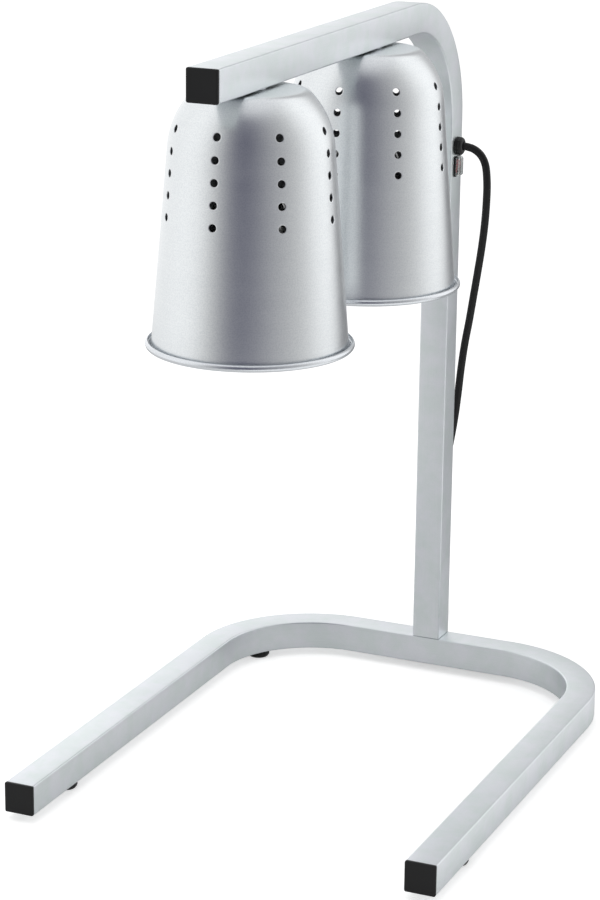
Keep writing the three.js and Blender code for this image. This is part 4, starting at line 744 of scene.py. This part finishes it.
def shade_mesh(name, y):
    h, v = SHADE, VENT
    verts, faces, uvs, finish = [], [], [], []
    theta = [2 * math.pi * i / AROUND for i in range(AROUND)]
    dz = v["pitch"] / PER_PITCH
    first, last = -v["first"] + dz * ROWS_ABOVE, v["first"] + v["pitch"] * (v["rows"] - 1)
    rows = [first - dz * i for i in range(int((last + BELOW) / dz) + ROWS_ABOVE + 1)]
    rows += list(np.linspace(rows[-1], -(h["height"] - h["roll"]), 20)[1:])
    hole_rows = [int(round((first + v["first"] + v["pitch"] * k) / dz)) for k in range(v["rows"])]
    holes = [(row, AROUND * c // v["columns"]) for row in hole_rows for c in range(v["columns"])]
    half = range(-HALF, HALF)

    def put(r, a, z, way):
        verts.append((r * math.cos(a), y + r * math.sin(a), h["top"] + z))
        uvs.append((a * UV_RADIUS, way))
        return len(verts) - 1

    def face(q, outward, metal):
        faces.append(q if outward else q[::-1])
        finish.append(metal)

    def bridge(a, b, outward, metal=OUTSIDE):
        for i in range(len(a)):
            k = (i + 1) % len(a)
            face((a[i], a[k], b[k], b[i]), outward, metal)

    def turn_on(prev, profile, outward, way, metal=OUTSIDE):
        """Rings of the profile's points, skinned onto a ring that is there already."""
        r0, z0 = profile[0]
        for r, z in profile:
            way += math.hypot(r - r0, z - z0)
            r0, z0 = r, z
            now = [put(r, a, z, way) for a in theta]
            bridge(prev, now, outward, metal)
            prev = now
        return prev

    def skin(inset, outer):
        """The wall's grid with its holes; returns its first and last rows and the holes' edges."""
        metal = OUTSIDE if outer else INSIDE
        cells = [[put(skin_radius(z, inset), a, z, -z) for a in theta] for z in rows]
        left_out = {(hr + i, (hc + j) % AROUND) for hr, hc in holes for i in half for j in half}
        for i in range(len(rows) - 1):
            for j in range(AROUND):
                if (i, j) not in left_out:
                    k = (j + 1) % AROUND
                    face((cells[i][j], cells[i][k], cells[i + 1][k], cells[i + 1][j]), not outer, metal)
        edge = [(-HALF, j) for j in half] + [(i, HALF) for i in half]
        edge += [(HALF, -j) for j in half] + [(-i, -HALF) for i in half]
        edges = []
        for hr, hc in holes:
            loop = [cells[hr + i][(hc + j) % AROUND] for i, j in edge]
            for grow, sink in VENT_LIP:
                now = []
                for i, j in edge:
                    turn = math.atan2(-i * dz, j * dz)
                    z = rows[hr] + (v["radius"] + grow) * math.sin(turn)
                    r = skin_radius(z, inset + (sink if outer else -sink))
                    a = theta[hc] + (v["radius"] + grow) * math.cos(turn) / r
                    now.append(put(r, a, z, -z))
                bridge(loop, now, not outer, metal)
                loop = now
            edges.append(loop)
        return cells[0], cells[-1], edges

    def crown(inset):
        """From the first row up over the soft edge and in to the nipple's hole."""
        out = [(skin_radius(z, inset), z) for z in np.linspace(rows[0], -h["edge"] - 1.2, 6)]
        a, b = out[-1], (h["flat"] - h["edge"] - 1.5 - inset * 0.5, -inset)
        corner = (a[0] - (a[1] + inset) * (a[0] - out[-2][0]) / (a[1] - out[-2][1]), -inset)
        return out[1:] + eased_corner(a, corner, b, 8)[1:] + [(r, -inset) for r in CROWN_RADII]

    outer_top, outer_foot, outer_edges = skin(0.0, True)
    inner_top, inner_foot, inner_edges = skin(h["wall"], False)
    for a, b in zip(outer_edges, inner_edges):
        bridge(a, b, False)
    a = turn_on(outer_top, crown(0.0), True, CROWN_WAY)
    b = turn_on(inner_top, crown(h["wall"]), False, CROWN_WAY, INSIDE)
    bridge(a, b, True)
    cr, cz = h["foot"] - h["wall"] + h["roll"], -h["height"] + h["roll"]
    curl = [(math.cos(t), math.sin(t)) for t in np.radians(np.linspace(180, 430, 26))[1:]]
    inside, outside = h["roll"] - h["wall"], h["roll"]
    a = turn_on(outer_foot, [(cr + inside * c, cz + inside * s) for c, s in curl], False, RIM_WAY, RIM)
    b = turn_on(inner_foot, [(cr + outside * c, cz + outside * s) for c, s in curl], True, RIM_WAY, RIM)
    bridge(a, b, False, RIM)
    corner_uvs, half_way = [], math.pi * UV_RADIUS
    for f in faces:
        us = [uvs[i] for i in f]
        if max(u for u, _ in us) - min(u for u, _ in us) > half_way:
            us = [(u + 2 * half_way if u < half_way else u, w) for u, w in us]
        corner_uvs += us
    o = mesh_object(name, verts, faces, corner_uvs)
    o.data.polygons.foreach_set("material_index", finish)
    return o


for side, place in SHADES.items():
    shade = shade_mesh(f"{side}_spun_shade", place)
    dress(shade, (SHADE_METAL, INSIDE_METAL, RIM_METAL), f"{side}_shade")


# --- Each lamp's holder, fixings and bulb
HOLDER_DROP, SHELL_DROP, BULB_DROP = 4.9, 26.9, 55.7  # from the arm's underside
THREAD_PITCH, THREAD_DEPTH = 4.2, 0.35
BULB = dict(radius=62.5, height=153.0, neck=11.6, wall=1.1, silvered=107.0)
# Its outline, as shares of radius and height
BULB_SHARES = [
    (0.27, 0.04), (0.36, 0.17), (0.6, 0.38), (0.83, 0.56), (0.98, 0.72), (0.98, 0.86), (0.82, 0.95), (0.5, 0.99),
    (0, 1),
]


def lamp_pieces(lamp, y):
    def at(drop):
        return basis((0, y, ARM_UNDER - drop), UP)

    holder = [
        (NIPPLE_R, 0), (13, 0, 1.2), (13, -9, 2.5), (21, -22, 5.0), (21, -49, 1.2), (14.9, -49, 0.8), (14.9, -22),
        (1.9, -22), (1.9, -17), (8, -17), (8, -9), (NIPPLE_R, -9), (NIPPLE_R, 0),
    ]
    holder = lathe(f"{lamp}_holder_body", filleted(holder), at(HOLDER_DROP))
    dress(holder, CERAMIC, f"{lamp}_holder")

    def wave(z):
        """The rolled thread's depth at a height."""
        return THREAD_DEPTH / 2 * (1 - math.cos(2 * math.pi * z / THREAD_PITCH))

    down = np.linspace(1.0, 23.6, 60)
    shell = [(14.25, -0.3), (14.6, -0.5)] + [(14.6 - wave(z), -z) for z in down] + [(14.6, -24.0), (14.3, -24.3)]
    shell += [(13.9, -24.0)] + [(13.9 - wave(z), -z) for z in down[::-1]] + [(13.9, -0.5), (14.25, -0.3)]
    shell = lathe(f"{lamp}_thread_shell", shell, at(SHELL_DROP))
    dress(shell, BRASS, f"{lamp}_screw_shell")
    for piece, r, drop, thick in (("clamp_washer", 16.0, 3.0, 1.6), ("shade_spacer", 13.0, 0.3, 0.9)):
        disc = filleted([(NIPPLE_R, 0), (r, 0, 0.3), (r, -thick, 0.3), (NIPPLE_R, -thick), (NIPPLE_R, 0)])
        dress(lathe(f"{lamp}_{piece}_disc", disc, at(drop)), ZINC, f"{lamp}_{piece}")

    body, b = f"{lamp}_bulb", BULB
    neck = [(b["neck"], 9.0), (b["neck"], 0.0)]
    outer = catmull(neck + [(b["radius"] * out, -b["height"] * down) for out, down in BULB_SHARES], 6)
    inner = outer - [b["wall"], 0]
    for line in (outer, inner):
        line[:, 0] = np.clip(line[:, 0], AXIS, None)
    widest = int(np.argmax(outer[:, 0]))
    inner[widest:, 1] += b["wall"] * np.linspace(0, 1, len(inner) - widest)
    glass = lathe(f"{lamp}_reflector_bulb", np.vstack([outer[::-1], inner]), at(BULB_DROP), 72, sharp=60)
    silver_z = (ARM_UNDER - BULB_DROP - b["silvered"]) * MM
    glass.data.polygons.foreach_set("material_index", [int(p.center.z > silver_z) for p in glass.data.polygons])
    dress(glass, (GLASS, SILVERED), f"{lamp}_bulb_glass", body)

    cap = [(AXIS, 27.0), (3.2, 27.0), (4.4, 26.4), (4.6, 25.6), (4.6, 24.0), (6.0, 23.6), (11.2, 18.4)]
    cap += [(12.5 + 2 * wave(t), 17.0 - t) for t in np.linspace(0, 12.6, 46)]
    cap += [(12.5, 3.6), (13.0, 0.4), (13.2, 0.0), (11.9, 0.0), (11.9, 9.3), (11.6, 9.3), (11.6, 14.0), (AXIS, 14.0)]
    dress(lathe(f"{lamp}_threaded_cap", cap, at(BULB_DROP)), BRASS, f"{lamp}_bulb_cap", body)


for side, place in SHADES.items():
    lamp_pieces(side, place)


# --- Cord gland on the post's right side; frames there point out along +X
def on_side(z, along=0.0):
    """A frame on the post's right face at a height, moved down by along."""
    return np.array([TUBE / 2, POST_Y, z - along]), np.array([[0, 0, -1.0], [0, 1.0, 0], [1.0, 0, 0]])


b = GLAND_BORE
flange = filleted([(b, 0.3), (9.4, 0.3, 0.15), (9.4, 2.3, 0.6), (b, 2.3), (b, 0.3)])
barrel = filleted([(b, -9.0), (7.6, -9.0, 0.3), (7.6, 1.5), (b, 1.5), (b, -9.0)])
flange, barrel = lathe("flange", flange, on_side(GLAND_Z), 72), lathe("barrel", barrel, on_side(GLAND_Z), 48)
dress(joined("gland_flanged_body", flange, barrel), GLAND_BLACK, "gland_body")


def ribbed_nut(angle, r, z):
    """Eight soft ribs on the nut's side."""
    return r + (0.5 * max(0.0, math.cos(8 * angle)) ** 3 if r > 8.6 and 2.7 < z < 5.4 else 0)


nut = filleted([
    (b, 2.6), (8.9, 2.6, 0.2), (8.9, 3.2), (8.9, 4.6), (8.9, 5.2, 0.2), (8.5, 6.2, 0.8), (6.9, 7.2, 0.8),
    (4.4, 7.2, 0.3), (b, 6.8), (b, 2.6),
])
nut = lathe("gland_dome_nut", nut, on_side(GLAND_Z), 96, ribbed_nut)
dress(nut, GLAND_BLACK, "gland_nut")


# Switch housing: a rounded bezel, a well for the rocker, the body behind it and its two blades
def switch_housing():
    levels = [(-13, 1.5), (-12.8, 1.2), (0.3, 1.2), (0.3, 0.3), (0.45, 0.1), (0.6, 0.0), (1.1, 0.0), (1.45, 0.12)]
    levels += [(1.62, 0.35), (1.7, 0.7), (1.7, 2.3), (1.6, 2.5), (-4.0, 2.5), (-9.9, 2.6)]
    body = slab("body", inset_rect(21, 15, 1.5, 0.3), levels, on_side(SWITCH_Z))
    blade, levels = inset_rect(0.8, 4.8, 0.2, steps=2), [(-18, 0.1), (-17.8, 0), (-12.9, 0)]
    blades = [slab("blade", blade, levels, on_side(SWITCH_Z, along)) for along in (-5.0, 5.0)]
    return joined("switch_bezel_and_body", body, *blades)


dress(switch_housing(), SWITCH_BLACK, "switch_housing")


# Rocker, one piece across its pivot with two dished faces and eased edges, tipped by half of its travel at rest
def rocker(tilt=9):
    fall = 7.0 * math.tan(math.radians(tilt))  # of either half of the top
    section = filleted([
        (0, 3), (-3.5, 2.8), (-7, 3, 0.5), (-7, 2.5 - fall, 0.4), (-3.5, -3, 0.8), (3.5, -3, 0.8),
        (7, 2.5 - 2 * fall, 0.4), (7, 3 - 2 * fall, 0.5), (3.5, 2.8 - fall), (0, 3),
    ])[:-1]
    place = np.array([TUBE / 2 - 0.5, POST_Y, SWITCH_Z]), np.array([[0, 0, -1.0], [1.0, 0, 0], [0, 1.0, 0]])
    across = ((-4.2, 0.94), (-4.1, 0.975), (-3.85, 1.0), (3.85, 1.0), (4.1, 0.975), (4.2, 0.94))
    return skinned("switch_rocker_moulded", [lifted(section * share, x, place) for x, share in across], flip=True)


# The rocker's clear domed boot
def boot():
    outline = inset_rect(19.8, 13.8, 3, 0.6, steps=8)
    levels = [(4.55, 3.0), (4.55, 1.9), (4.42, 1.3), (4.1, 0.95), (3.6, 0.8), (2.0, 0.8), (2.0, 0.0), (3.7, 0.05)]
    levels += [(5.4 - 1.5 * (1 - math.sin(a)), 1.5 * (1 - math.cos(a))) for a in np.linspace(0.2, np.pi / 2, 7)]
    return slab("switch_boot_moulded", outline, levels + [(5.42, 3.5)], on_side(SWITCH_Z), sharp=60)


dress(rocker(), SWITCH_RED, "switch_rocker", "rocker")
dress(boot(), SILICONE, "switch_boot")


# --- Plug, along the tail's end: ringed relief, dished grip and round face with its earth slots and holes
RELIEF, FACE, PLUG_GAP = 24, 62, 0.3  # the relief's and the plug's reach, and the gap before them


def less(piece, *cutters):
    """The piece with the cutters' space taken out of it."""
    for cutter in cutters:
        modifier = piece.modifiers.new("cut", "BOOLEAN")
        modifier.object, modifier.solver = cutter, "EXACT"
    whole = piece.evaluated_get(bpy.context.evaluated_depsgraph_get())
    mesh = bpy.data.meshes.new_from_object(whole)
    name = piece.name
    for o in (piece, *cutters):
        bpy.data.objects.remove(o)
    return in_scene(name, mesh)


def plug_moulding():
    end, before = np.array(TAIL[-1], float), np.array(TAIL[-2], float)
    way = unit(end - before)
    end = end + PLUG_GAP * way
    place = basis(end, way, (way[1], -way[0], 0.0))
    profile = [(4.05, 0.0), (4.7, 0.0, 0.25), (5.0, 0.5)]
    for i in range(4):
        z = 3 + 6 * i
        r = 5 + 1.4 * z / RELIEF
        profile += [(r, z - 1.7), (r + 0.8, z - 0.9, 0.4), (r + 0.8, z + 0.9, 0.4), (r, z + 1.7)]
    profile += [(6.6, 23.6), (10.8, 24.4, 1.0), (12, 26.2, 1.2), (11.3, 31, 4), (11.1, 36, 6), (11.6, 41, 4)]
    profile += [(12.2, 44.8, 1.0), (17.2, 46.2, 1.2), (18.4, 47.6, 0.8), (18.4, 60.8, 0.9), (17.2, FACE, 0.9)]
    profile = [(AXIS, 0.3), (4.05, 0.3)] + profile + [(AXIS, FACE)]
    body = lathe("plug_moulding", filleted(profile), place, 72)

    def beside(x, y):
        return end + x * place[1][0] + y * place[1][1], place[1]

    def hole(x, y, radius, depth):
        bore = [(AXIS, FACE - depth), (radius, FACE - depth), (radius, FACE + 1), (AXIS, FACE + 1)]
        return lathe("hole", bore, beside(x, y), 24)

    def slot(y):
        return slab("slot", inset_rect(5.6, 3.4, 0.3, steps=3), [(48.8, 0), (FACE + 1, 0)], beside(0, y))

    return less(body, hole(-9.5, 0, 2.7, 8), hole(9.5, 0, 2.7, 8), hole(0, -10, 2.6, 12), slot(-17.7), slot(17.7))


dress(plug_moulding(), MAINS_BLACK, "plug_body")


# --- CAD pieces that keep their shape get their real materials
KEPT = [
    (ZINC, ["post_insert", "post_bolt_left", "post_bolt_right"] + [f"foot_screw_{i}" for i in range(1, 5)]),
    (ZINC, [f"{s}_{n}" for s in SHADES for n in ("nipple", "nipple_nut")]),
    (BRASS, [f"{s}_centre_contact" for s in SHADES]),
    (TUNGSTEN, [f"{s}_bulb_filament" for s in SHADES]),
    (SLEEVE, ["supply_core", "switch_lead", "front_lead", "rear_lead"]),
    (GLAND_BLACK, ["gland_lock_nut"]),
    (PALE_PLASTIC, ["terminal_block"]),
    (NICKEL, ["plug_pin_left", "plug_pin_right", "plug_earth_left", "plug_earth_right"]),
]
for material, names in KEPT:
    for n in names:
        slots = bpy.data.objects[n].data.materials
        slots.clear()
        slots.append(material)


# --- Studio: a white floor, and a white room that polished metal sees with a darker side by the camera
WHITE, OVERHEAD, AMBIENT, FAR_DIM = (1, 1, 1, 1), (0.9, 0.9, 0.92, 1), (0.75, 0.75, 0.75, 1), (0.17, 0.17, 0.18, 1)
# The room's brightness by degrees from the front toward the right
ROOM = [
    (-180, 0.5), (-168, 0.6), (-152, 1.25), (-126, 1.1), (-95, 1.05), (-70, 1.12), (-50, 1.1), (-35, 0.92),
    (-22, 0.62), (-10, 0.36), (2, 0.16), (17, 0.12), (35, 0.22), (50, 0.36), (66, 0.46), (80, 0.56), (95, 0.74),
    (112, 1.05), (130, 1.22), (156, 1.2), (168, 0.6), (180, 0.5),
]


def room(t, vector):
    """How bright the room is along a level direction, by its angle from the front toward the right."""
    way = add(t, "SeparateXYZ", {0: vector}).outputs
    angle = maths(t, "ARCTAN2", way[0], maths(t, "MULTIPLY", way[1], -1.0))
    n = add(t, "ValToRGB", {0: spread(t, angle, 0.0, 1.0, -math.pi, math.pi)})
    stops = n.color_ramp.elements
    for i, (degrees, level) in enumerate(ROOM):
        stop = stops[i] if i < 2 else stops.new(1.0)
        stop.position = (degrees + 180) / 360
        cast = max(0.0, 0.6 - level)  # the dark side is faintly blue
        stop.color = (level - 0.02 * cast, level - 0.02 * cast, level + 0.08 * cast, 1)
    return n


def eased(t, value, start, end):
    return spread(t, value, 0.0, 1.0, start, end, "SMOOTHSTEP")


def times(t, *values):
    out = values[0]
    for value in values[1:]:
        out = maths(t, "MULTIPLY", out, value)
    return out


def camera_ray(t):
    return add(t, "LightPath").outputs["Is Camera Ray"]


def mirror_ray(t):
    ray = add(t, "LightPath").outputs
    return maths(t, "MAXIMUM", ray["Is Glossy Ray"], ray["Is Transmission Ray"])


def floor_paint():
    """White to the camera. Mirror rays see it darker behind the post, glowing at the right, and the room far off."""
    m, t = new_material("studio_floor_white")
    place = add(t, "TexCoord").outputs["Object"]
    away = add(t, "VectorMath", {0: place}, operation="LENGTH").outputs["Value"]
    side = add(t, "SeparateXYZ", {0: place}).outputs
    dim = times(t, eased(t, side[1], 0.8, 1.4), eased(t, side[0], 1.8, 1.45), eased(t, side[0], -0.5, 0.1))
    far = blend_colour(t, dim, room(t, place), FAR_DIM)
    near_post = times(t, eased(t, side[1], 0.28, 0.36), eased(t, side[0], 0.24, 0.16), 0.55)
    behind = times(t, maths(t, "MAXIMUM", near_post, eased(t, side[1], 0.42, 0.62)), mirror_ray(t))
    bright = times(t, eased(t, side[0], 0.2, 0.3), eased(t, side[1], 0.7, 0.4), mirror_ray(t))
    glow = add(t, "Mix", {0: camera_ray(t), 2: times(t, bright, 0.3), 3: 0.5}, data_type="FLOAT")
    paint = add(t, "BsdfPrincipled", {
        "Base Color": blend_colour(t, behind, rgb("#e4e4e4"), rgb("#b8b9ba")), "Roughness": 0.9,
        "Specular IOR Level": 0.1, "Emission Color": WHITE, "Emission Strength": glow,
    })
    mirrored = add(t, "Emission", {"Color": far})
    share = times(t, mirror_ray(t), eased(t, away, 1.3, 2.4))
    add(t, "OutputMaterial", {"Surface": add(t, "MixShader", {0: share, 1: paint, 2: mirrored})})
    return m


def studio(reach=9):
    scene = bpy.context.scene
    scene.view_settings.view_transform = "Standard"
    me = bpy.data.meshes.new("studio_floor")
    me.from_pydata([(-reach, -reach, 0), (reach, -reach, 0), (reach, reach, 0), (-reach, reach, 0)], [], [range(4)])
    me.materials.append(floor_paint())
    floor = in_scene("studio_floor", me)

    world = bpy.data.worlds.new("studio_world")
    scene.world = world
    world.use_nodes = True
    t = world.node_tree
    t.nodes.clear()
    way = add(t, "TexCoord").outputs["Generated"]
    up = add(t, "SeparateXYZ", {0: way}).outputs[2]
    seen = blend_colour(t, eased(t, up, 0.76, 0.95), room(t, way), OVERHEAD)
    level = blend_colour(t, mirror_ray(t), AMBIENT, seen)
    back = add(t, "Background", {"Color": blend_colour(t, camera_ray(t), level, WHITE)})
    add(t, "OutputWorld", {"Surface": back})

    def lamp(name, place, aim, size, power):
        data = bpy.data.lights.new(name, "AREA")
        data.shape, data.size, data.size_y, data.energy = "RECTANGLE", *size, power
        o = in_scene(name, data)
        o.location = place
        o.rotation_mode = "QUATERNION"
        o.rotation_quaternion = (Vector(aim) - Vector(place)).to_track_quat("-Z", "Y")
        o.visible_glossy = False

    lamp("lamp_above", (-0.4, -0.3, 2.6), (0, 0, 0.3), (1.8, 1.8), 14)
    lamp("lamp_right", (2.4, -0.4, 1.3), (0, 0, 0.4), (1.4, 1.6), 8)


studio()
